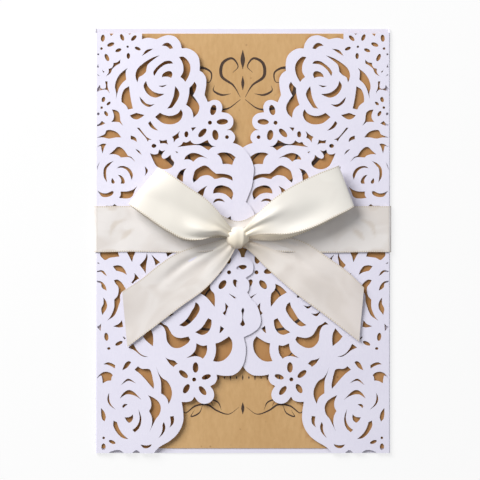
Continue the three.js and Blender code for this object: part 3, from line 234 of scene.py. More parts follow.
centreRose = [
    [[26.1, 54.6, tip], [27.6, 55.8, tip], [28.7, 54.85], [30.5, 53.85], [31.5, 52.2], [32.7, 50.3],
     [34.1, 49.3], [36.2, 48.9], [39.5, 49.5, tip], [40.2, 48.2, tip], [39.5, 47.05], [37.8, 45.7],
     [35.6, 44.7], [33.1, 44.8], [31.5, 46], [30.4, 47.7], [29.8, 51.6], [29, 53.4], [27.7, 54.4]],
    [[47.8, 57.3, tip], [49.3, 56.5, tip], [49.2, 54.4], [48.5, 52.4], [47.3, 50.95], [45.4, 50.2],
     [42.3, 51.3, tip], [44.6, 52.8], [46, 54.4], [47.05, 56.1]],
    [[53, 54.1, tip], [54.6, 52.9, tip], [53.6, 51.6], [52.6, 50.85, tip], [52.9, 52.8]],
    [[56.7, 49.6, tip], [57.9, 47.7], [58.1, 45.4], [57.5, 42.95], [55.9, 40.7], [54, 39.3], [52, 38.85],
     [49.9, 39.05, tip], [50.7, 41.1], [51.15, 43.6], [50.95, 46.6, tip], [52.6, 47.05], [54.85, 48.3]],
    [[42.85, 46.6, tip], [45.4, 45.6], [47.3, 45.8, tip], [47.4, 44], [46.85, 41.9], [45.6, 40.1, tip],
     [44.2, 40.9], [42.3, 41.2], [38.6, 40.4, tip], [40.9, 41.9], [42.3, 43.6], [42.7, 45]],
    [[29.5, 41.2, tip], [30.2, 40.3], [31.7, 39.7], [33.5, 39.3], [34.95, 37.9, tip], [33.9, 37.4],
     [33.2, 36.6, tip], [31.7, 37.8], [30.6, 39.3]],
    [[55.05, 63.8, tip], [56.7, 61.9, tip], [55.9, 60], [55.4, 58.1, tip], [54, 59.4, tip], [55.05, 60.6],
     [55.15, 61.7]],
    [[56.5, 67.8, tip], [59.8, 66, tip], [59.3, 65.3, tip]],
    [[62.6, 61.8, tip], [63.4, 60.5], [62.9, 59.4], [62.6, 57.5], [62.9, 56.1], [63.4, 54.6],
     [62.3, 53.7, tip], [61.4, 54.6], [62.2, 56.3], [62.3, 59], [61.9, 60.5]],
    [[63.2, 87.9, tip], [64.8, 86.1, tip], [63.9, 84.85], [63.5, 83.1, tip], [61.8, 83.1, tip],
     [61.4, 84.85], [60.3, 86.6, tip], [62, 86.6]],
]

bottomRose = [
    [[3.4, 37.7, tip], [5.15, 38.5], [6.8, 38.2], [8.4, 37.3, tip], [8.3, 35.9, tip], [7.2, 36.6],
     [5.15, 37.5]],
    [[15.2, 38.6, tip], [14.2, 39.05], [12.95, 38.4], [12.1, 37], [11.4, 35.15, tip], [13.4, 36.2],
     [14.4, 37.4]],
    [[0.5, 31.5, tip], [1.6, 33.1], [3.2, 34.3], [5, 34.5], [6.6, 33.9], [7.4, 33.1, tip], [6.9, 32.2],
     [6.7, 30.8, tip], [4.9, 30.6], [3.1, 29.6, tip], [2.9, 31.5], [2.5, 32.9], [1.6, 32.5]],
    [[18.1, 36.9, tip], [18.9, 36.2], [19.9, 35.8], [22.2, 35.8], [23.2, 35.4], [24, 33.3], [24.4, 31.3],
     [24.85, 29], [24.7, 27.3, tip], [23.6, 28.5], [20.7, 31.9], [18.7, 33.9], [16.6, 35.4, tip]],
    [[10.7, 28.8, tip], [13.9, 31.6], [17.3, 29.6, tip], [14, 30.7]],
    [[10.4, 23.2, tip], [11.7, 25.3], [13.4, 26.6], [14.6, 26.8], [16.4, 25.9], [19.7, 22.5, tip],
     [18.1, 23.7], [16.4, 24.5], [14.6, 24.95], [12.95, 24.85], [11.5, 24]],
    [[5.8, 25.6, tip], [5.15, 23.8], [5.15, 22.2], [6, 20.5], [8.7, 18.3, tip], [6.6, 20.7], [5.9, 22.6],
     [5.8, 24.2]],
    [[13.8, 20.7, tip], [12.3, 20.85], [11.4, 19.9], [11.7, 19.1, tip], [12.5, 19.8]],
    [[18.3, 18.6, tip], [19.1, 16.6], [19.5, 14.6], [19.2, 12.1], [18.3, 10.3], [16.7, 8.85, tip],
     [15.7, 9.9, tip], [17.05, 10.9], [18.3, 12.7], [18.8, 15], [18.6, 16.85]],
    [[12.4, 15.2, tip], [14.2, 15.3], [15.2, 15.8], [15.9, 16.5, tip], [16, 15], [15.4, 13.6],
     [14.3, 12.95], [13.4, 13.6]],
    [[7.7, 13.8, tip], [9.15, 13.15, tip], [9.7, 11.3], [10.7, 9.3], [12.1, 7.6], [14, 6, tip],
     [11.7, 6.4], [10.1, 7.6], [8.6, 9.5], [7.6, 11.7]],
    [[22.4, 24.6, tip], [24.2, 23.8], [26.3, 22.4], [27.6, 20.3], [27.7, 18.3], [27.1, 16.4], [25.7, 14.6],
     [24.85, 12.95], [22.9, 8.95, tip], [23.8, 11.3], [24.1, 13.6], [23.8, 15.8], [22.8, 17.9, tip],
     [23.6, 19.5], [23.7, 21.4], [23.2, 23.2]],
    [[29.05, 13.3, tip], [29.7, 11.3], [29.4, 9.5], [28.3, 7.8], [26.8, 6.4, tip], [27.9, 8.2],
     [28.5, 10.3], [28.5, 12.1]],
    [[19.2, 3.7, tip], [20.7, 3.4], [22.4, 3.4], [23.9, 3.9, tip], [23.4, 2.9], [22.2, 2.2], [20.7, 2.2],
     [19.7, 2.9]],
    [[2.4, 19.2, tip], [3.8, 17.4], [4.4, 15.3], [3.9, 13.4, tip], [2.9, 14.4], [2.5, 16], [2.4, 17.6]],
    [[25.8, 36.7, tip], [26.9, 33.9], [28.4, 31.9], [30.3, 30.7], [31.8, 28.5], [32.5, 25.8], [32.2, 23.4],
     [31.1, 20.9, tip], [30.5, 23], [29.4, 24.4], [27.9, 25.4, tip], [27.9, 28], [27.7, 31], [26.8, 33.5]],
    [[31.7, 15.6, tip], [33.2, 15.8, tip], [33.4, 14.2], [33, 12.5], [31.5, 10.9, tip], [32, 12.95]],
]

# cuts about a millimetre wide, beside the fold and in the top edge
tinyCuts = [
    [[2.8, 162.5, tip], [3.8, 161.8, tip], [3.5, 161.2, tip]],
    [[0.75, 160.4, tip], [1, 160.7, tip], [2, 159.8, tip]],
    [[0.75, 80.8, tip], [1, 80.4, tip], [1.9, 80.2, tip], [1.2, 80.9, tip]],
    [[1.9, 123.5, tip], [0.9, 121.8], [0.75, 120, tip], [1.2, 121.8]],
    [[13.9, 177.9, tip], [15.3, 178, tip], [14.6, 177.4, tip]],
    [[11.6, 49.3, tip], [12, 49.5, tip], [12.9, 48.6, tip], [12.5, 48.2, tip]],
    [[0.75, 169, tip], [1.3, 168.8], [1.6, 169.2], [1.3, 169.6], [0.75, 169.4, tip]],
    [[0.75, 143.5, tip], [1.4, 143.3], [1.8, 143.9], [1.4, 144.5], [0.75, 144.3, tip]],
]

flapTop = sheets["cardHeight"] - sheets["topMargin"]

# free edge of a flap, with the notches in its top and bottom edges
freeEdge = [
    [8.1, flapTop, tip], [19.8, flapTop, tip], [19.8, 175.5, tip], [22.3, 176.1], [26, 175.5, tip],
    [28.5, 176.6], [31, 177.2], [34, 176.4], [36, 174], [36.7, 171.6, tip], [39, 171.6], [41.5, 170.5],
    [43.6, 168.2], [44.3, 165], [44.2, 162.1, tip], [45.6, 161.2], [46.9, 159], [47, 156.3],
    [46.3, 151.9, tip], [47.2, 150], [47.7, 148.8, tip], [50.3, 149.8], [52.6, 149.2], [53.8, 147],
    [53.5, 144.6, tip], [56.5, 143.9], [58.3, 142], [58.3, 139.2], [57, 137.5], [55.6, 137, tip],
    [57.4, 136.8], [59, 135], [59.2, 133.3], [58.3, 131.5, tip], [60, 131], [62.9, 129.2], [65.6, 125.5],
    [67.2, 121], [66.9, 117], [66.3, 113], [65.2, 110], [63.8, 106.5, tip], [66.2, 104], [67.6, 100.5],
    [66.6, 97], [64.5, 93], [63.3, 90], [62.2, 87, tip], [60.4, 86.7, tip], [61.4, 84.9],
    [61.8, 83.1, tip], [64.6, 82.8], [66.8, 80.3], [66.6, 76.6], [63.8, 74.4, tip], [65.1, 72.6],
    [65.2, 70], [64.4, 68, tip], [66.2, 65.4], [68.4, 62.8], [69.8, 59], [70.2, 56], [69.2, 53.2],
    [66.5, 51], [62.9, 49.2, tip], [63.8, 45], [63.5, 40.5], [62.5, 37.2], [61, 34.95], [59.4, 33.7],
    [58.1, 33.1], [54.6, 32.9], [51.4, 33.4, tip], [51.6, 31.6], [50.6, 29.6], [48.7, 28.5, tip],
    [50, 26.6], [50.3, 24], [48.8, 21.8], [46.3, 21], [44, 21.7], [42, 24, tip], [41, 22.5], [39, 21.8],
    [36.6, 21.8, tip], [37.2, 18], [37.3, 14], [36.2, 10.5], [34, 7.3], [31, 4.9], [28, 3.2], [26.3, 1.9],
    [24.8, 0, tip], [18.9, 0, tip], [18.9, 0.4, tip], [17.4, 1.3], [15.8, 0.4, tip], [15.8, 0, tip],
    [11.9, 0, tip], [11.9, 0.4, tip], [10.2, 1.3], [8, 1.2], [5.9, 0.4, tip], [5.9, 0, tip],
    [foldOutside, 0, tip], [foldOutside, flapTop, tip], [5.9, flapTop, tip], [6.6, flapTop - 1.5, tip],
]

piercings = [topRose, foldSprigs, foldRose, middleRose, lowerLeaves, centreRose, bottomRose, tinyCuts]


def curveBetween(a, b, slopeA, slopeB, count):  # points from a to just before b
    out = []
    for step in range(count):
        t = step / count
        square, cube = t * t, t * t * t
        out.append(a * (2 * cube - 3 * square + 1) + slopeA * (cube - 2 * square + t)
                   + b * (3 * square - 2 * cube) + slopeB * (cube - square))
    return out


def smoothPoints(points, spacing):  # a centripetal curve through the points, sampled about every spacing
    if len(points) == 2:
        return [points[0]]
    run = [points[0] * 2 - points[1], *points, points[-1] * 2 - points[-2]]
    out = []
    for before, a, b, after in zip(run, run[1:], run[2:], run[3:]):
        spans = ((before, a), (a, b), (b, after))
        t0, t1, t2 = [max((two - one).length ** 0.5, 1e-6) for one, two in spans]
        slopeA = ((a - before) / t0 - (b - before) / (t0 + t1) + (b - a) / t1) * t1
        slopeB = ((b - a) / t1 - (after - a) / (t1 + t2) + (after - b) / t2) * t1
        out += curveBetween(a, b, slopeA, slopeB, max(1, round((b - a).length / spacing)))
    return out


def outlineOf(drawn, spacing):  # smooth between corners, sharp at them
    first = next(i for i, point in enumerate(drawn) if len(point) == 3)
    turned = drawn[first:] + drawn[:first + 1]
    out, side = [], []
    for point in turned:
        side.append(Vector((point[0], point[1])))
        if len(point) == 3 and len(side) > 1:
            out += smoothPoints(side, spacing)
            side = [side[-1]]
    return out


def petalOutline(across, up, halfLong, halfShort, degrees, spacing):
    turn = math.radians(degrees)
    count = max(14, round(2 * math.pi * halfLong / spacing))
    out = []
    for step in range(count):
        angle = 2 * math.pi * step / count
        long, short = halfLong * math.cos(angle), halfShort * math.sin(angle)
        out.append(Vector((across + long * math.cos(turn) - short * math.sin(turn),
                           up + long * math.sin(turn) + short * math.cos(turn))))
    return out


def isInside(outline, u, v):
    hit = False
    for a, b in zip(outline, outline[1:] + outline[:1]):
        if (a.y > v) != (b.y > v) and u < a.x + (v - a.y) * (b.x - a.x) / (b.y - a.y):
            hit = not hit
    return hit


def ease(share):
    share = min(max(share, 0), 1)
    return share * share * (3 - 2 * share)


def hump(value, centre, spread):
    return math.exp(-((value - centre) / spread) ** 2)


def pleats(across, count, phase):
    return math.sin(2 * math.pi * (count * across + phase))


def unevenness(along, across, seed):
    return noise.noise(Vector((along, across, seed)))


jacketLook = {
    "spacing": 0.3,  # mm between points along a cut
    "windowsFrom": 0.08,  # mm from the fold to the nearest window
    "bendEvery": 5,  # mm between the loose points that let the sheet bend
    "looseShift": (0.37, 0.11),  # mm, every second row aside and all rows up, clear of the cuts
    "reach": 72,  # mm from the fold, past the widest part of a flap
    "joinWithin": 0.0001,  # mm
    "foldSteps": 14,
    "waves": [(0.11, 11, 17), (0.08, -19, 13)],  # height of each, and what divides x and y in it, mm
    "calmWithin": 25,  # mm from the fold
}


def waviness(x, y, fromFold):  # the lace is not dead flat: it lifts a little between its fold and the band
    wave = sum(height * math.sin(x / byX + y / byY) for height, byX, byY in jacketLook["waves"])
    return wave * ease(fromFold / jacketLook["calmWithin"])


def flapUnder(level, fromFold):  # underside of a flap above the table
    share = min(max((fromFold - foldOutside) / (sheets["springEnd"] - foldOutside), 0), 1)
    return foldUnder + (level - foldUnder) * math.sin(share * math.pi / 2)


def newPiece(name, mesh, materials, nodes):
    piece = bpy.data.objects.new(name, mesh)
    bpy.context.scene.collection.objects.link(piece)
    for material in materials:
        mesh.materials.append(material)
    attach(piece, "root")
    if nodes:
        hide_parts(*nodes)
    return piece


def laceOutlines(spacing):  # the flap's own outline first, then each window
    outlines = [outlineOf(freeEdge, spacing)]
    outlines += [outlineOf(drawn, spacing) for group in piercings for drawn in group]
    return outlines + [petalOutline(*petal, spacing) for petal in petals]


def laceTriangles():  # the pierced sheet of one flap, flat: its points and triangles
    look = jacketLook
    points, loops = [], []
    for index, outline in enumerate(laceOutlines(look["spacing"])):
        if sum(a.cross(b) for a, b in zip(outline, outline[1:] + outline[:1])) < 0:
            outline.reverse()
        leastU = foldOutside if index == 0 else foldOutside + look["windowsFrom"]
        loops.append(list(range(len(points), len(points) + len(outline))))
        points += [Vector((max(place.x, leastU), place.y)) for place in outline]
    every = look["bendEvery"]
    aside, above = look["looseShift"]
    for row in range(1, int(sheets["cardHeight"] / every)):
        for column in range(1, int(look["reach"] / every)):
            points.append(Vector((column * every + aside * (row % 2), row * every + above)))
    found = delaunay_2d_cdt(points, [], loops, 0, look["joinWithin"])
    where, faces, owners = found[0], found[2], found[5]
    # loop 0 is the flap's outline, so a face of the lace is in that loop and in no window
    return where, [face for face, inside in zip(faces, owners) if list(inside) == [0]]


def placeFlap(flat, side, level):  # side is -1 on the left and 1 on the right
    where, triangles = flat
    half = sheets["paper"] / 2
    flap = bmesh.new()

    def raised(u, v, z):
        x = side * (halfWidth - u)
        y = v - halfHeight
        lift = flapUnder(level, u) + half + waviness(x, y, u)
        return Vector((x, y, z + lift)) * mm

    used = sorted({corner for triangle in triangles for corner in triangle})
    tops = {i: flap.verts.new(raised(where[i].x, where[i].y, half)) for i in used}
    feet = {i: flap.verts.new(raised(where[i].x, where[i].y, -half)) for i in used}
    rim = {}  # the edges of all triangles; one without its reverse lies on a cut
    for triangle in triangles:
        corners = list(triangle)[::-side]
        flap.faces.new([tops[i] for i in corners])
        flap.faces.new([feet[i] for i in reversed(corners)])
        for one, two in zip(corners, corners[1:] + corners[:1]):
            rim[(one, two)] = True
    walls = {}

    def wallPair(i):
        if i not in walls:
            walls[i] = (flap.verts.new(tops[i].co), flap.verts.new(feet[i].co))
        return walls[i]

    for one, two in rim:
        if (two, one) not in rim:
            topOne, footOne = wallPair(one)
            topTwo, footTwo = wallPair(two)
            flap.faces.new((topOne, footOne, footTwo, topTwo)).material_index = 1
    return flap


def panelAndFolds():  # the back panel and both folds, as one section run along Y
    steps = jacketLook["foldSteps"]
    corner = halfWidth - foldOutside

    def arcPoints(side, radius):
        out = []
        for step in range(steps + 1):
            angle = -math.pi / 2 + math.pi * step / steps
            out.append((side * (corner + radius * math.cos(angle)), foldAxis + radius * math.sin(angle)))
        return out

    outer = list(reversed(arcPoints(-1, foldOutside))) + arcPoints(1, foldOutside)
    inner = list(reversed(arcPoints(-1, foldInside))) + arcPoints(1, foldInside)
    body = bmesh.new()
    rows = []
    for (ox, oz), (ix, iz) in zip(outer, inner):
        top = halfHeight - (sheets["topMargin"] if oz > foldAxis else 0)
        ends = [(ox, -halfHeight, oz), (ix, -halfHeight, iz), (ix, top, iz), (ox, top, oz)]
        rows.append([body.verts.new(Vector(end) * mm) for end in ends])
    for a, b in zip(rows, rows[1:]):
        for one, two in ((0, 1), (1, 2), (2, 3), (3, 0)):
            body.faces.new((a[one], a[two], b[two], b[one]))
    for row in (rows[0], rows[-1]):
        body.faces.new(row)
    bmesh.ops.recalc_face_normals(body, faces=body.faces)
    return body


def joinInto(mesh, parts):
    whole = bmesh.new()
    for part in parts:
        scratch = bpy.data.meshes.new("part")
        part.to_mesh(scratch)
        part.free()
        whole.from_mesh(scratch)
        bpy.data.meshes.remove(scratch)
    whole.to_mesh(mesh)
    whole.free()


# Node helpers

def startMaterial(name):
    material = bpy.data.materials.new(name)
    material.use_nodes = True
    tree = material.node_tree
    return material, tree, tree.nodes["Principled BSDF"]


def startGroup(name, inputs, outputs):
    group = bpy.data.node_groups.new(name, "ShaderNodeTree")
    for label, kind, value in inputs:
        socket = group.interface.new_socket(name=label, in_out="INPUT", socket_type=kind)
        socket.default_value = value
    for label, kind in outputs:
        group.interface.new_socket(name=label, in_out="OUTPUT", socket_type=kind)
    return group, group.nodes.new("NodeGroupInput"), group.nodes.new("NodeGroupOutput")


def addNode(tree, kind, inputs=(), **settings):
    node = tree.nodes.new(kind)
    for name, value in settings.items():
        setattr(node, name, value)
    for socket, value in dict(inputs).items():
        if isinstance(value, bpy.types.NodeSocket):
            tree.links.new(value, node.inputs[socket])
        else:
            node.inputs[socket].default_value = value
    return node


def combine(tree, operation, *values):  # one arithmetic node
    return addNode(tree, "ShaderNodeMath", enumerate(values), operation=operation).outputs[0]


def remap(tree, value, fromLow, fromHigh, toLow=0, toHigh=1):
    ends = (value, fromLow, fromHigh, toLow, toHigh)
    return addNode(tree, "ShaderNodeMapRange", enumerate(ends)).outputs[0]


def mixColours(tree, factor, a, b, blend="MIX"):
    given = {0: factor, 6: a, 7: b}
    return addNode(tree, "ShaderNodeMix", given, data_type="RGBA", blend_type=blend).outputs[2]


def grainBump(tree, strength, height):
    reach = 0.00005  # metres
    given = {"Strength": strength, "Distance": reach, "Height": height}
    return addNode(tree, "ShaderNodeBump", given).outputs[0]


def colour(red, green, blue):  # a colour as it is written on screen, 0 to 255
    return (*[(value / 255 / 12.92) if value < 11 else ((value / 255 + 0.055) / 1.055) ** 2.4
              for value in (red, green, blue)], 1)


def buildSheetGrain():  # fibre mottling that both papers share
    group, given, result = startGroup(
        "sheetGrain",
        [("Base", "NodeSocketColor", (0.8, 0.8, 0.8, 1)), ("Deep", "NodeSocketColor", (0.6, 0.6, 0.6, 1)),
         ("Cloud Size", "NodeSocketFloat", 60), ("Fibre Size", "NodeSocketFloat", 1200),
         ("Amount", "NodeSocketFloat", 0.5)],
        [("Color", "NodeSocketColor"), ("Height", "NodeSocketFloat")])
    base, deep, cloudSize, fibreSize, amount = given.outputs[:5]
    spot = addNode(group, "ShaderNodeTexCoord").outputs["Object"]
    cloud = addNode(group, "ShaderNodeTexNoise", {"Vector": spot, "Scale": cloudSize, "Detail": 3})
    stretch = addNode(group, "ShaderNodeMapping", {"Vector": spot, "Scale": (1, 0.35, 1)})
    fibre = addNode(group, "ShaderNodeTexNoise", {"Vector": stretch.outputs[0], "Scale": fibreSize,
                                                  "Detail": 4, "Roughness": 0.65})
    both = combine(group, "ADD", cloud.outputs[0], fibre.outputs[0])
    share = combine(group, "MULTIPLY", remap(group, both, 0.7, 1.3), amount)
    group.links.new(mixColours(group, share, base, deep), result.inputs[0])
    group.links.new(fibre.outputs[0], result.inputs[1])
    return group


def sheetMaterial(name, grain, look):  # what the papers, their cut edges and the print have in common
    material, tree, shader = startMaterial(name)
    node = addNode(tree, "ShaderNodeGroup", node_tree=grain)
    for socket, key in enumerate(("base", "deep", "clouds", "fibres", "amount")):
        node.inputs[socket].default_value = look[key]
    tree.links.new(node.outputs[0], shader.inputs["Base Color"])
    shader.inputs["Roughness"].default_value = look["roughness"]
    if "bump" in look:
        bump = grainBump(tree, look["bump"], node.outputs[1])
        tree.links.new(bump, shader.inputs["Normal"])
    return material, tree, shader, node.outputs[0]


def pearlCard(grain):
    look = {"base": colour(240, 237, 252), "deep": colour(232, 229, 246), "clouds": 45, "fibres": 1500,
            "amount": 0.8, "bump": 0.04, "roughness": 0.46, "coat": 0.12, "coatRoughness": 0.35}
    material, tree, shader, paper = sheetMaterial("pearlCard", grain, look)
    shader.inputs["Coat Weight"].default_value = look["coat"]
    shader.inputs["Coat Roughness"].default_value = look["coatRoughness"]
    return material


def cutEdge(grain):  # laser-singed edge of the pearl card, its brown made darker as painted shade inside the cut walls
    look = {"base": colour(176, 140, 108), "deep": colour(128, 88, 58), "clouds": 300, "fibres": 2500,
            "amount": 0.9, "roughness": 0.8}
    return sheetMaterial("cutEdge", grain, look)[0]


def kraftCard(grain):
    look = {"base": colour(214, 174, 122), "deep": colour(198, 156, 103), "clouds": 25, "fibres": 700,
            "amount": 0.9, "bump": 0.15, "roughness": 0.85,
            "fleck": colour(140, 98, 62), "fleckStrength": 0.6,
            "under": (0.78, 0.65, 0.54, 1)}  # painted shade: the colour is multiplied by this where a flap lies over the card
    material, tree, shader, paper = sheetMaterial("kraftCard", grain, look)
    spot = addNode(tree, "ShaderNodeTexCoord").outputs["Object"]
    specks = addNode(tree, "ShaderNodeTexVoronoi", {"Vector": spot, "Scale": 260, "Randomness": 1})
    strength = remap(tree, specks.outputs["Distance"], 0.05, 0.16, 1, 0)
    rarity = addNode(tree, "ShaderNodeTexNoise", {"Vector": spot, "Scale": 190, "Detail": 1})
    mask = combine(tree, "MULTIPLY", strength, remap(tree, rarity.outputs[0], 0.56, 0.66))
    faded = combine(tree, "MULTIPLY", mask, look["fleckStrength"])
    tinted = mixColours(tree, faded, paper, look["fleck"])
    # painted shade: multiply the kraft towards the dark tint where a flap lies over it
    shade = addNode(tree, "ShaderNodeAttribute", attribute_name="shade")
    tinted = mixColours(tree, shade.outputs["Fac"], tinted, look["under"], "MULTIPLY")
    tree.links.new(tinted, shader.inputs["Base Color"])
    return material


def darkInk(grain):
    look = {"base": colour(58, 42, 34), "deep": colour(84, 62, 46), "clouds": 200, "fibres": 1800,
            "amount": 0.8, "roughness": 0.7}
    return sheetMaterial("darkInk", grain, look)[0]


def ivorySatin():
    look = {
        "threads": 95,
        "bump": 0.12,
        "specular": 0.55,
        "sheen": 0.1,
        "sheenRoughness": 0.4,
        "stitch": colour(214, 200, 178),
        "paintedSatinShade": colour(217, 207, 199),  # painted shade, where the satin turns from the light
        "shows": colour(205, 188, 168),  # where a window of the lace lies under the band
        "ramp": 0.8,  # metres of strip that the painted light and shade tones below run over
        # painted light and shade: a lit or shaded tone at each place along the strip, in metres: band,
        # tails, loops and knot, left before right
        "litAndShadedTones": [
            (0.000, (239, 234, 231)), (0.260, (239, 234, 231)), (0.300, (238, 228, 212)),
            (0.312, (243, 238, 233)), (0.340, (238, 232, 228)), (0.358, (230, 223, 219)),
            (0.370, (226, 212, 192)), (0.386, (241, 234, 228)), (0.415, (235, 227, 222)),
            (0.434, (230, 221, 217)), (0.440, (238, 228, 208)), (0.454, (244, 239, 229)),
            (0.500, (243, 238, 229)), (0.540, (236, 226, 206)), (0.545, (243, 232, 210)),
            (0.560, (252, 248, 240)), (0.600, (252, 248, 240)), (0.650, (236, 226, 206)),
            (0.700, (252, 249, 243)), (0.708, (243, 233, 214)), (0.718, (226, 206, 176)),
        ],
    }
    material, tree, shader = startMaterial("ivorySatin")
    strip = addNode(tree, "ShaderNodeUVMap", uv_map="strip").outputs[0]  # X across, 0 to 1; Y along, metres
    parts = addNode(tree, "ShaderNodeSeparateXYZ", {0: strip})
    across, along = parts.outputs[0], parts.outputs[1]
    # painted light and shade: each part of the strip takes its own lit or shaded tone
    paintedTone = addNode(tree, "ShaderNodeValToRGB", {0: combine(tree, "DIVIDE", along, look["ramp"])})
    stops = paintedTone.color_ramp.elements
    for index, (place, written) in enumerate(look["litAndShadedTones"]):
        stop = stops[index] if index < 2 else stops.new(place / look["ramp"])
        stop.position = place / look["ramp"]
        stop.color = colour(*written)
    lengthened = addNode(tree, "ShaderNodeMapping", {"Vector": strip, "Scale": (1, 6, 1)}).outputs[0]
    fine = {"Vector": lengthened, "Scale": look["threads"], "Detail": 2}
    thread = addNode(tree, "ShaderNodeTexNoise", fine).outputs[0]
    fromMiddle = combine(tree, "ABSOLUTE", combine(tree, "SUBTRACT", across, 0.5))
    selvedge = remap(tree, fromMiddle, 0.466, 0.476)
    rib = addNode(tree, "ShaderNodeTexWave", {"Vector": strip, "Scale": 330, "Distortion": 0.4},
                  bands_direction="Y")
    ribbed = combine(tree, "MULTIPLY", rib.outputs[1], selvedge)
    tinted = mixColours(tree, ribbed, paintedTone.outputs[0], look["stitch"])
    cover = addNode(tree, "ShaderNodeAttribute", attribute_name="cover")
    bare = remap(tree, cover.outputs["Fac"], 0, 1, 0.42, 0)
    tinted = mixColours(tree, bare, tinted, look["shows"])
    # painted shade: broad clouds along the strip darken the satin towards the shade colour
    drape = addNode(tree, "ShaderNodeMapping", {"Vector": strip, "Scale": (1.3, 42, 1)}).outputs[0]
    broad = {"Vector": drape, "Scale": 1.6, "Detail": 1.5, "Distortion": 0.8}
    cloud = addNode(tree, "ShaderNodeTexNoise", broad).outputs[0]
    paintedSatinShade = remap(tree, cloud, 0.42, 0.66, 0, 0.5)
    less = remap(tree, along, 0.436, 0.444, 1, 0.25)  # a quarter as much painted shade on the loops and the knot
    tinted = mixColours(tree, combine(tree, "MULTIPLY", paintedSatinShade, less), tinted, look["paintedSatinShade"])
    bump = grainBump(tree, look["bump"], combine(tree, "ADD", thread, ribbed))
    tree.links.new(tinted, shader.inputs["Base Color"])
    tree.links.new(remap(tree, thread, 0.3, 0.7, 0.38, 0.48), shader.inputs["Roughness"])
    tree.links.new(bump, shader.inputs["Normal"])
    shader.inputs["Specular IOR Level"].default_value = look["specular"]
    shader.inputs["Sheen Weight"].default_value = look["sheen"]
    shader.inputs["Sheen Roughness"].default_value = look["sheenRoughness"]
    return material


sheetGrain = buildSheetGrain()
pearl = pearlCard(sheetGrain)
singedAndShadedEdge = cutEdge(sheetGrain)
kraft = kraftCard(sheetGrain)
ink = darkInk(sheetGrain)
satin = ivorySatin()
print("materials made")

flatPlate = laceTriangles()
leftFlap = placeFlap(flatPlate, -1, leftLevel)
rightFlap = placeFlap(flatPlate, 1, rightLevel)
jacketMesh = bpy.data.meshes.new("cardJacket")
joinInto(jacketMesh, [panelAndFolds(), leftFlap, rightFlap])

cardJacket = newPiece("cardJacket", jacketMesh, [pearl, singedAndShadedEdge], ["card_jacket"])
print("jacket:", len(jacketMesh.polygons), "faces")

insertLook = {"columns": 60, "rows": 88, "spacing": 1.2}  # spacing along the edge of a flap, mm


def insertSheet():  # the kraft card; its shade attribute is 1 where a flap lies over it, for the painted shade there
    low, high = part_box("insert_card")
    edge = outlineOf(freeEdge, insertLook["spacing"])
    shape = bmesh.new()
    shade = shape.verts.layers.float.new("shade")
    columns, rows = insertLook["columns"], insertLook["rows"]
    tops, feet = [], []
    for row in range(rows + 1):
        tops.append([])
        feet.append([])
        for column in range(columns + 1):
            x = low.x + (high.x - low.x) * column / columns
            y = low.y + (high.y - low.y) * row / rows
            across, up = abs(x) / mm, y / mm + halfHeight
            over = isInside(edge, halfWidth - across, up) or isInside(edge, halfWidth + across, up)
            for grid, z in ((tops, high.z), (feet, low.z)):
                vertex = shape.verts.new((x, y, z))
                vertex[shade] = 1.0 if over else 0.0
                grid[-1].append(vertex)
    for a, b in zip(range(rows), range(1, rows + 1)):
        for c, d in zip(range(columns), range(1, columns + 1)):
            shape.faces.new((tops[a][c], tops[a][d], tops[b][d], tops[b][c]))
            shape.faces.new((feet[a][c], feet[b][c], feet[b][d], feet[a][d]))
        for c in (0, columns):
            shape.faces.new((tops[a][c], tops[b][c], feet[b][c], feet[a][c]))
    for c, d in zip(range(columns), range(1, columns + 1)):
        for a in (0, rows):
            shape.faces.new((tops[a][c], tops[a][d], feet[a][d], feet[a][c]))
    bmesh.ops.recalc_face_normals(shape, faces=shape.faces)
    mesh = bpy.data.meshes.new("insertSheet")
    shape.to_mesh(mesh)
    shape.free()
    newPiece("insertSheet", mesh, [kraft], ["insert_card"])
    print("insert:", len(mesh.polygons), "faces")


insertSheet()

# Printed ornament on the insert: each stroke is a centre line in mm and its greatest width.
printLook = {"height": 0.02, "above": 0.004, "spacing": 0.5, "tipShare": 0.12, "swell": 1.4}
scrolls = [
    ([(1, 60), (7, 56), (15, 57), (21.5, 62.5), (22, 69),
      (18, 73.5), (13.5, 71.5), (14, 67.5), (17, 67.5)], 1.7),
    ([(1, 61), (4, 66), (9, 70), (8.5, 75.5), (4.5, 77.5), (2, 74), (4.2, 71.5)], 1.3),
    ([(5, 62.5), (9, 62), (12.5, 64), (12, 66)], 0.9),
    ([(2, 28), (10, 23), (20, 25), (31, 34), (37, 41), (32, 44), (28.5, 40)], 1.7),
    ([(2, 32), (8, 38), (17, 41), (23, 37), (20, 32), (16, 34)], 1.4),
    ([(3, 20), (10, 15), (19, 14), (25, 17)], 1.1),
    ([(2, -32), (9, -37), (18, -37), (26, -31), (27, -24), (22, -22), (19.5, -26)], 1.3),
    ([(2, -28), (7, -22), (13, -20), (16, -24), (13, -27)], 1.0),
    ([(3, -48), (10, -52), (18, -50), (24, -44)], 0.9),
    ([(1.5, -70.5), (6, -73.5), (11, -72), (15, -69.5),
      (20, -70), (24.5, -73), (26, -70.5), (24, -69)], 0.75),
    ([(9, -71.8), (10.5, -68.5), (13.5, -67.5), (12.5, -70.2)], 0.6),
    ([(17, -69.7), (18.5, -73), (22, -74.5), (20.5, -71.8)], 0.6),
]
# strokes on the middle line: top, foot, greatest width
middleDrops = [(81, 73, 1.9), (70, 64, 1.3), (35, 27, 1.8), (-24, -31, 1.5), (-68.5, -73.5, 1.3)]
beadRule = {"y": -58, "reach": 21, "step": 2.6, "size": 0.62, "long": 1.9, "short": 1.1}


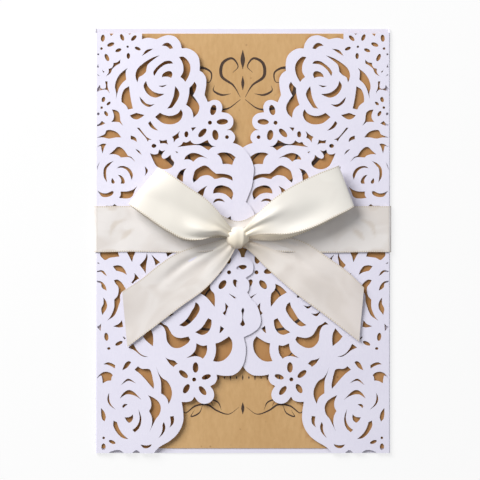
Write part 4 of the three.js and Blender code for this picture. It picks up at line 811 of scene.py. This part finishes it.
def strokeInto(shape, points, widest):
    line = smoothPoints([Vector(point) for point in points], printLook["spacing"]) + [Vector(points[-1])]
    low = insertTop + printLook["above"]
    tipShare = printLook["tipShare"]
    rows = []
    for index, place in enumerate(line):
        share = index / (len(line) - 1)
        ahead = line[min(index + 1, len(line) - 1)] - line[max(index - 1, 0)]
        across = Vector((-ahead.y, ahead.x)).normalized()
        swelling = math.sin(math.pi * share) ** printLook["swell"]
        half = 0.5 * widest * (tipShare + (1 - tipShare) * swelling)
        corners = [place + across * half, place - across * half]
        tops = [shape.verts.new(Vector((p.x, p.y, low + printLook["height"])) * mm) for p in corners]
        feet = [shape.verts.new(Vector((p.x, p.y, low)) * mm) for p in reversed(corners)]
        rows.append(tops + feet)
    for a, b in zip(rows, rows[1:]):
        for one in range(4):
            two = (one + 1) % 4
            shape.faces.new((a[one], a[two], b[two], b[one]))
    shape.faces.new(rows[0])
    shape.faces.new(rows[-1])


def insertPrint():
    ornament = bmesh.new()
    for points, widest in scrolls:
        for side in (-1, 1):
            strokeInto(ornament, [(side * x, y) for x, y in points], widest)
    for top, foot, widest in middleDrops:
        strokeInto(ornament, [(0, top), (0, (top + foot) / 2), (0, foot)], widest)
    y, size = beadRule["y"], beadRule["size"]
    beads = int(beadRule["reach"] / beadRule["step"])
    for index in range(-beads, beads + 1):
        x = index * beadRule["step"]
        tall = size * (beadRule["long"] if index % 2 == 0 else beadRule["short"])
        strokeInto(ornament, [(x, y + tall), (x, y), (x, y - tall)], size)
    bmesh.ops.recalc_face_normals(ornament, faces=ornament.faces)
    mesh = bpy.data.meshes.new("insertPrint")
    ornament.to_mesh(mesh)
    ornament.free()
    newPiece("insertPrint", mesh, [ink], [])
    print("print:", len(mesh.polygons), "faces")


insertPrint()

# Satin ribbon
ribbonLook = {
    "thick": 0.22,
    "along": 0.7,  # mm between rows of the mesh
    "across": 26,  # faces across the ribbon
    "smoothUnder": 60,  # degrees between faces
    "bandEvery": 3,  # mm between the drawn rows of the band
    "coverSpacing": 0.6,  # mm along the cuts that show through the band
    "cutLength": 600,  # mm of ribbon in the band, knot, loops and tails
}
bandTop = leftLevel + sheets["paper"] + sheets["clearance"] + sheets["ribbon"]
bandEnd = halfWidth - 0.6  # where the front strip meets the strip round the folds
bandHigh = sheets["bandAboveCentre"] + sheets["ribbonWidth"] / 2
bandLow = bandHigh - sheets["ribbonWidth"]
knot = {
    "x": -2.0, "y": 1.35, "halfX": 4.7, "halfY": 4.5, "tall": 5.2,
    "rows": 18, "fromDegrees": -28, "turnDegrees": 236,
    "squareness": 0.8,  # 1 is round
}
# where each part begins along the strip, in mm; the satin's painted light and shade follow the same places
startAt = {"band": 0, "sides": 130, "leftTail": 300, "rightTail": 370, "leftLoop": 440, "rightLoop": 545,
           "knot": 700}

strip = bmesh.new()
uvLayer = strip.loops.layers.uv.new("strip")
coverLayer = strip.verts.layers.float.new("cover")


def ribbonPatch(upper, lower, relief, start, covered=None):
    # upper and lower are the two edges, mm; relief lifts a point by share along, distance, share across
    spacing = ribbonLook["along"]
    centre = [(a + b) / 2 for a, b in zip(upper, lower)]
    counts = [max(1, round((b - a).length / spacing)) for a, b in zip(centre, centre[1:])]

    def dense(edge):
        run = [edge[0] * 2 - edge[1], *edge, edge[-1] * 2 - edge[-2]]
        out = []
        for count, before, a, b, after in zip(counts, run, run[1:], run[2:], run[3:]):
            out += curveBetween(a, b, (b - before) / 2, (after - a) / 2, count)
        return out + [edge[-1]]

    one, other = dense(upper), dense(lower)
    rows = len(one)
    wide = ribbonLook["across"]
    travelled = [0]
    for index in range(1, rows):
        step = ((one[index] + other[index]) - (one[index - 1] + other[index - 1])).length / 2
        travelled.append(travelled[-1] + step)
    total = travelled[-1]
    flat = [[a.lerp(b, j / wide) for j in range(wide + 1)] for a, b in zip(one, other)]

    def normalAt(grid, i, j):
        along = grid[min(i + 1, rows - 1)][j] - grid[max(i - 1, 0)][j]
        across = grid[i][min(j + 1, wide)] - grid[i][max(j - 1, 0)]
        return along.cross(across).normalized()

    raised = []
    for i in range(rows):
        share = travelled[i] / total
        raised.append([flat[i][j] + normalAt(flat, i, j) * relief(share, travelled[i], j / wide)
                       for j in range(wide + 1)])
    half = ribbonLook["thick"] / 2
    front, back = [], []
    for i in range(rows):
        normals = [normalAt(raised, i, j) for j in range(wide + 1)]
        front.append([strip.verts.new((raised[i][j] + normals[j] * half) * mm) for j in range(wide + 1)])
        back.append([strip.verts.new((raised[i][j] - normals[j] * half) * mm) for j in range(wide + 1)])
    for grid in (front, back):
        for row, spots in zip(grid, raised):
            for vertex, spot in zip(row, spots):
                vertex[coverLayer] = covered(spot.x, spot.y) if covered else 1.0

    def face(corners, places):
        made = strip.faces.new(corners)
        made.smooth = True
        for loop, (i, j) in zip(made.loops, places):
            loop[uvLayer].uv = (j / wide, (start + travelled[i]) * mm)

    for i in range(rows - 1):
        for j in range(wide):
            places = [(i, j), (i + 1, j), (i + 1, j + 1), (i, j + 1)]
            face([front[a][b] for a, b in places], places)
            places.reverse()
            face([back[a][b] for a, b in places], places)
        for j, turn in ((0, 1), (wide, -1)):
            corners = [front[i][j], back[i][j], back[i + 1][j], front[i + 1][j]][::turn]
            face(corners, [(i, j), (i, j), (i + 1, j), (i + 1, j)][::turn])
    for j in range(wide):
        for i, turn in ((0, 1), (rows - 1, -1)):
            corners = [front[i][j + 1], back[i][j + 1], back[i][j], front[i][j]][::turn]
            face(corners, [(i, j + 1), (i, j + 1), (i, j), (i, j)][::turn])


def bowPart(rows, degrees, side, relief, start):  # side is -1 on the left and 1 on the right
    turn = math.radians(degrees)
    away = Vector((math.cos(turn), math.sin(turn), 0))
    up = Vector((-away.y, away.x, 0)) * side
    origin = Vector((knot["x"], knot["y"], bandTop))
    upper = [origin + away * (s + slant) + up * high + Vector((0, 0, z)) for s, high, low, slant, z in rows]
    lower = [origin + away * (s - slant) + up * low + Vector((0, 0, z)) for s, high, low, slant, z in rows]
    if side > 0:
        ribbonPatch(upper, lower, relief, start)
    else:
        ribbonPatch(lower, upper, lambda share, distance, across: relief(share, distance, 1 - across), start)


# each cut of the lace with its lowest and its highest place
underBand = [(outline, min(p.y for p in outline), max(p.y for p in outline))
             for outline in laceOutlines(ribbonLook["coverSpacing"])]


def laceCover(x, y):  # 1 where the lace lies under the band, 0 over a window
    u, v = halfWidth - abs(x), y + halfHeight
    shifts = ((0, 0), (0.45, 0.2), (-0.4, 0.3), (0.1, -0.45))  # mm, to soften the edges
    total = 0
    for aside, above in shifts:
        place = (u + aside, v + above)
        hits = [isInside(outline, *place) for outline, low, high in underBand if low <= place[1] <= high]
        total += 1 if hits and hits[0] and not any(hits[1:]) else 0
    return total / len(shifts)


def bandFace(x):  # height of the middle of the band's front strip
    level = bandTop - ribbonLook["thick"] / 2
    past = 8  # mm right of the middle, where the left flap ends
    if x > past:
        level -= (leftLevel - rightLevel) * ease((x - past) / 8)
    edge = halfWidth - abs(x)
    flapLevel = leftLevel if x < 0 else rightLevel
    if edge < sheets["springEnd"]:
        level -= flapLevel - flapUnder(flapLevel, edge)
    return level


def frontBand():
    every = ribbonLook["bandEvery"]
    spots = [-bandEnd]
    while spots[-1] < bandEnd - every - 1:
        spots.append(spots[-1] + every)
    spots.append(bandEnd)
    upper, lower = [], []
    for x in spots:
        drawn = hump(x, knot["x"], 9.5)  # gathered in towards the knot
        sag = 0.22 * math.sin(x / 9 + 0.8) * ease((halfWidth - abs(x)) / 15)
        upper.append(Vector((x, bandHigh - 6.4 * drawn + 0.5 * sag, bandFace(x))))
        lower.append(Vector((x, bandLow + 2.2 * drawn + sag, bandFace(x))))

    def relief(share, distance, across):
        x = distance - bandEnd
        calm = ease((halfWidth - abs(x)) / 12)
        near = hump(x, knot["x"], 15)
        soft = 0.3 * unevenness(x / 15, across * 1.7, 3.1)
        fine = 0.12 * unevenness(x / 6, across * 3.1, 8.4)
        gather = 0.2 * near * math.sin(2 * math.pi * (2.4 * across + 0.1) + 0.25 * math.sin(x / 5))
        return (soft + fine + gather) * calm

    ribbonPatch(upper, lower, relief, startAt["band"], laceCover)


def bandSides():  # round both folds and across the back
    corner = halfWidth - foldOutside
    radius = foldOutside + sheets["clearance"] + sheets["ribbon"] / 2 - 0.02
    path = [Vector((-bandEnd, 0, bandFace(-bandEnd)))]
    turns = 12
    for step in range(1, turns + 1):
        angle = math.pi / 2 + math.pi * step / turns
        path.append(Vector((-corner + radius * math.cos(angle), 0, foldAxis + radius * math.sin(angle))))
    for share in (0.2, 0.4, 0.6, 0.8):
        path.append(Vector((-corner + 2 * corner * share, 0, 0)))
    for step in range(turns):
        angle = -math.pi / 2 + math.pi * step / turns
        path.append(Vector((corner + radius * math.cos(angle), 0, foldAxis + radius * math.sin(angle))))
    path.append(Vector((bandEnd, 0, bandFace(bandEnd))))
    for place in path:
        place.z = max(place.z, ribbonLook["thick"] / 2 + 0.03)
    upper = [Vector((p.x, bandLow, p.z)) for p in path]
    lower = [Vector((p.x, bandHigh, p.z)) for p in path]
    ribbonPatch(upper, lower, lambda share, distance, across: 0, startAt["sides"])


# Rows of a strip: distance from the knot, upper edge, lower edge, slant, height above the band, in mm.
leftLoop = [
    (3, 1.6, -1.4, 0, 3.4), (8, 3.7, -3.2, 0, 5), (13, 5.9, -8.0, 0, 6.2),
    (20, 8.0, -11.3, 0, 7), (29, 8.8, -11.4, -0.5, 7.3), (37, 9.7, -10.5, -1.2, 6.9),
    (42.5, 10, -9.9, -1.5, 5.7), (45.4, 10, -9.6, -1.6, 3.9), (42.5, 9.6, -10.3, -1.5, 2),
    (36, 8.6, -11.3, -1.2, 1.1), (27, 7.6, -12.2, -0.5, 0.8), (18, 6, -11.4, 0, 0.8),
    (10, 4, -5.5, 0, 1.1), (3, 1.8, -1.8, 0, 1.6),
]
rightLoop = [
    (3, 1.8, -1.2, 0, 3.4), (8, 4.0, -2.2, 0, 5), (13, 6.0, -4.4, 0, 6.2),
    (20, 8.2, -7.7, 0, 7), (30, 9.8, -9.5, 0, 7.3), (41, 9.9, -9.5, 0.4, 6.9),
    (47.5, 9.4, -9.5, 0.6, 5.7), (50.6, 9.2, -9.2, 0.7, 3.9), (47.5, 9.0, -9.8, 0.6, 2),
    (39, 9.0, -10.2, 0.4, 1.1), (28, 8.6, -10.2, 0, 0.8), (18, 6.6, -9.2, 0, 0.8),
    (10, 4, -6.0, 0, 1.1), (3, 1.8, -1.6, 0, 1.6),
]
leftTail = [
    (3, 2.4, -2.6, 0, 1.8), (9, 4.6, -5.4, 0, 1.2), (16, 7.4, -7.6, 0, 0.8), (25, 10.2, -9.2, 0, 0.6),
    (36, 10.6, -9.1, -1, 0.7), (47, 10.2, -9.3, -3, 0.4), (59.1, 10.8, -9.4, -6.1, 0.2),
]
rightTail = [
    (3, 2.2, -1.8, 0, 1.8), (9, 6, -2.6, 0, 1.0), (16, 10.4, -4.4, 0, 0.5), (25, 13.2, -6, 0.5, 0.3),
    (36, 12.8, -7.6, 1, 0.5), (48, 12, -8.8, -1, 0.4), (61.6, 9.9, -10.7, -5.1, 0.2),
]


def alongLoop(share, length):  # about how far from the knot, and 1 on the upper run, 0 on the lower
    return length * min(share, 1 - share), ease((0.52 - share) / 0.08)


def leftLoopRelief(share, distance, across):
    s, onTop = alongLoop(share, 92)
    near = hump(s, 0, 16)
    hollow = -2.1 * hump(s, 12, 7) * hump(across, 0.66, 0.13)
    ridge = 1.0 * hump(s, 11, 8) * hump(across, 0.92, 0.08)
    gather = 0.45 * near * pleats(across, 1.9, 0.15)
    long = 0.9 * hump(across, 0.42 + 0.004 * s, 0.2) * ease(s / 14) * ease((46 - s) / 14)
    soft = 0.4 * unevenness(s / 13, across * 1.3, 2.2) * ease(s / 10)
    return (hollow + ridge + long) * onTop + gather + soft


def rightLoopRelief(share, distance, across):
    s, onTop = alongLoop(share, 103)
    near = hump(s, 0, 15)
    roll = 1.1 * hump(s, 24, 16) * hump(across, 0.75, 0.22)
    crease = -1.0 * hump(s, 12, 9) * hump(across, 0.35, 0.12)
    gather = 0.4 * near * pleats(across, 1.7, 0.5)
    soft = 0.45 * unevenness(s / 14, across * 1.3, 7.7) * ease(s / 10)
    return (roll + crease) * onTop + gather + soft


def tailRest(distance, across, gathers, swells, seed):  # pleats at the knot, a swell and a little unevenness
    reach, count, phase = gathers
    height, middle, fewer, shift = swells
    gather = 0.3 * hump(distance, 0, reach) * (1 + pleats(across, count, phase))
    wave = 0.55 + 0.45 * math.sin(distance / fewer + shift)
    swell = height * ease(distance / 20) * hump(across, middle, 0.3) * wave
    return gather + swell + 0.3 * (1 + unevenness(distance / 12, across * 1.6, seed)) * ease(distance / 8)


def leftTailRelief(share, distance, across):
    fade = ease((44 - distance) / 30) * ease(distance / 4)
    crease = 0.95 * hump(across, 0.23 + 0.0025 * distance, 0.09) * fade
    return crease + tailRest(distance, across, (18, 2.1, 0.2), (0.9, 0.6, 9, 0), 4.4)


def rightTailRelief(share, distance, across):
    fade = ease((50 - distance) / 34) * ease(distance / 4)
    hollow = 0.7 * hump(across, 0.12, 0.12) * hump(distance, 14, 13)
    ridge = hump(across, 0.34 + 0.002 * distance, 0.1) * fade
    return hollow + ridge + tailRest(distance, across, (16, 2.0, 0.6), (0.8, 0.62, 8, 2), 9.4)


def wrapKnot():  # one turn of ribbon over the crossing, gathered lengthways
    rows, square = knot["rows"], knot["squareness"]
    left, right = [], []
    for step in range(rows + 1):
        angle = math.radians(knot["fromDegrees"] + knot["turnDegrees"] * step / rows)
        up, out = math.cos(angle), math.sin(angle)
        y = knot["y"] + knot["halfY"] * math.copysign(abs(up) ** square, up)
        z = bandTop + 0.9 + (knot["tall"] - 1.4) * math.copysign(abs(out) ** square, out)
        z = max(z, bandTop + 0.3)
        below = ease((angle - math.pi / 2) / (math.pi / 2))
        half = knot["halfX"] * (1 - 0.42 * below ** 1.5)
        middle = knot["x"] - 0.2 * below
        left.append(Vector((middle - half, y, z)))
        right.append(Vector((middle + half, y, z)))

    def relief(share, distance, across):
        rounding = -2.1 * abs(2 * across - 1) ** 4
        facet = -0.6 * ease((across - 0.74) / 0.1)
        gather = 0.07 * pleats(across, 2.6, 0.3 * share)
        return rounding + facet + gather

    ribbonPatch(left, right, relief, startAt["knot"])


frontBand()
bandSides()
bowPart(leftTail, 216.4, -1, leftTailRelief, startAt["leftTail"])
bowPart(rightTail, -31.5, 1, rightTailRelief, startAt["rightTail"])
bowPart(leftLoop, 151.4, -1, leftLoopRelief, startAt["leftLoop"])
bowPart(rightLoop, 25.5, 1, rightLoopRelief, startAt["rightLoop"])
wrapKnot()
ribbonMesh = bpy.data.meshes.new("satinRibbon")
strip.to_mesh(ribbonMesh)
strip.free()
ribbonMesh.shade_smooth()
ribbonMesh.set_sharp_from_angle(angle=math.radians(ribbonLook["smoothUnder"]))
satinRibbon = newPiece("satinRibbon", ribbonMesh, [satin], ["satin_ribbon"])
print("ribbon:", len(ribbonMesh.polygons), "faces")

# Stage: a white table, soft daylight from the upper left
stageLook = {
    "half": 3.0,  # metres from the middle of the table to its edges
    "lift": 0.75,  # share of plain white in what the camera sees of the table
    "skyStrength": 0.29,
    "skyTint": (0.97, 0.98, 1, 1),
}
lamps = {
    "window": {"place": (-0.85, 0.85, 0.85), "size": 0.85, "power": 26, "tint": (1, 0.995, 0.985)},
    "fill": {"place": (0.8, -0.5, 1.0), "size": 1.2, "power": 1.2, "tint": (0.95, 0.97, 1)},
}


def whiteTable():
    mesh = bpy.data.meshes.new("table")
    half = stageLook["half"]
    corners = [(-half, -half, 0), (half, -half, 0), (half, half, 0), (-half, half, 0)]
    mesh.from_pydata(corners, [], [(0, 1, 2, 3)])
    table = bpy.data.objects.new("table", mesh)
    bpy.context.scene.collection.objects.link(table)
    material, tree, shader = startMaterial("whiteTable")
    shader.inputs["Base Color"].default_value = colour(250, 250, 250)
    shader.inputs["Roughness"].default_value = 0.9
    shader.inputs["Specular IOR Level"].default_value = 0.1
    white = addNode(tree, "ShaderNodeEmission", {"Color": (1, 1, 1, 1), "Strength": 1.0})
    path = addNode(tree, "ShaderNodeLightPath")
    seen = combine(tree, "MULTIPLY", path.outputs["Is Camera Ray"], stageLook["lift"])
    mix = addNode(tree, "ShaderNodeMixShader", {0: seen, 1: shader.outputs[0], 2: white.outputs[0]})
    tree.links.new(mix.outputs[0], tree.nodes["Material Output"].inputs[0])
    mesh.materials.append(material)


def areaLight(name, look):
    light = bpy.data.lights.new(name, "AREA")
    light.size = look["size"]
    light.energy = look["power"]
    light.color = look["tint"]
    lamp = bpy.data.objects.new(name, light)
    lamp.location = look["place"]
    lamp.rotation_mode = "QUATERNION"
    lamp.rotation_quaternion = (-Vector(look["place"])).to_track_quat("-Z", "Y")
    bpy.context.scene.collection.objects.link(lamp)


whiteTable()
for name, look in lamps.items():
    areaLight(name, look)
world = bpy.data.worlds.new("room")
world.use_nodes = True
sky = world.node_tree.nodes["Background"]
sky.inputs[0].default_value = stageLook["skyTint"]
sky.inputs[1].default_value = stageLook["skyStrength"]
bpy.context.scene.world = world
bpy.context.scene.view_settings.view_transform = "Standard"

cameraLook = {
    "above": 0.002,  # metres from the table to the plane that the camera is set for
    "away": 0.9,  # metres from that plane
    "shows": 0.2035,  # metres across the picture
    "x": -0.00117, "y": 0.0004,
    "sensor": 36,  # mm
}
camera = bpy.data.cameras.new("camera")
camera.sensor_width = cameraLook["sensor"]
camera.lens = cameraLook["sensor"] * cameraLook["away"] / cameraLook["shows"]
viewer = bpy.data.objects.new("camera", camera)
viewer.location = (cameraLook["x"], cameraLook["y"], cameraLook["away"] + cameraLook["above"])
bpy.context.scene.collection.objects.link(viewer)
bpy.context.scene.camera = viewer
print("stage set")
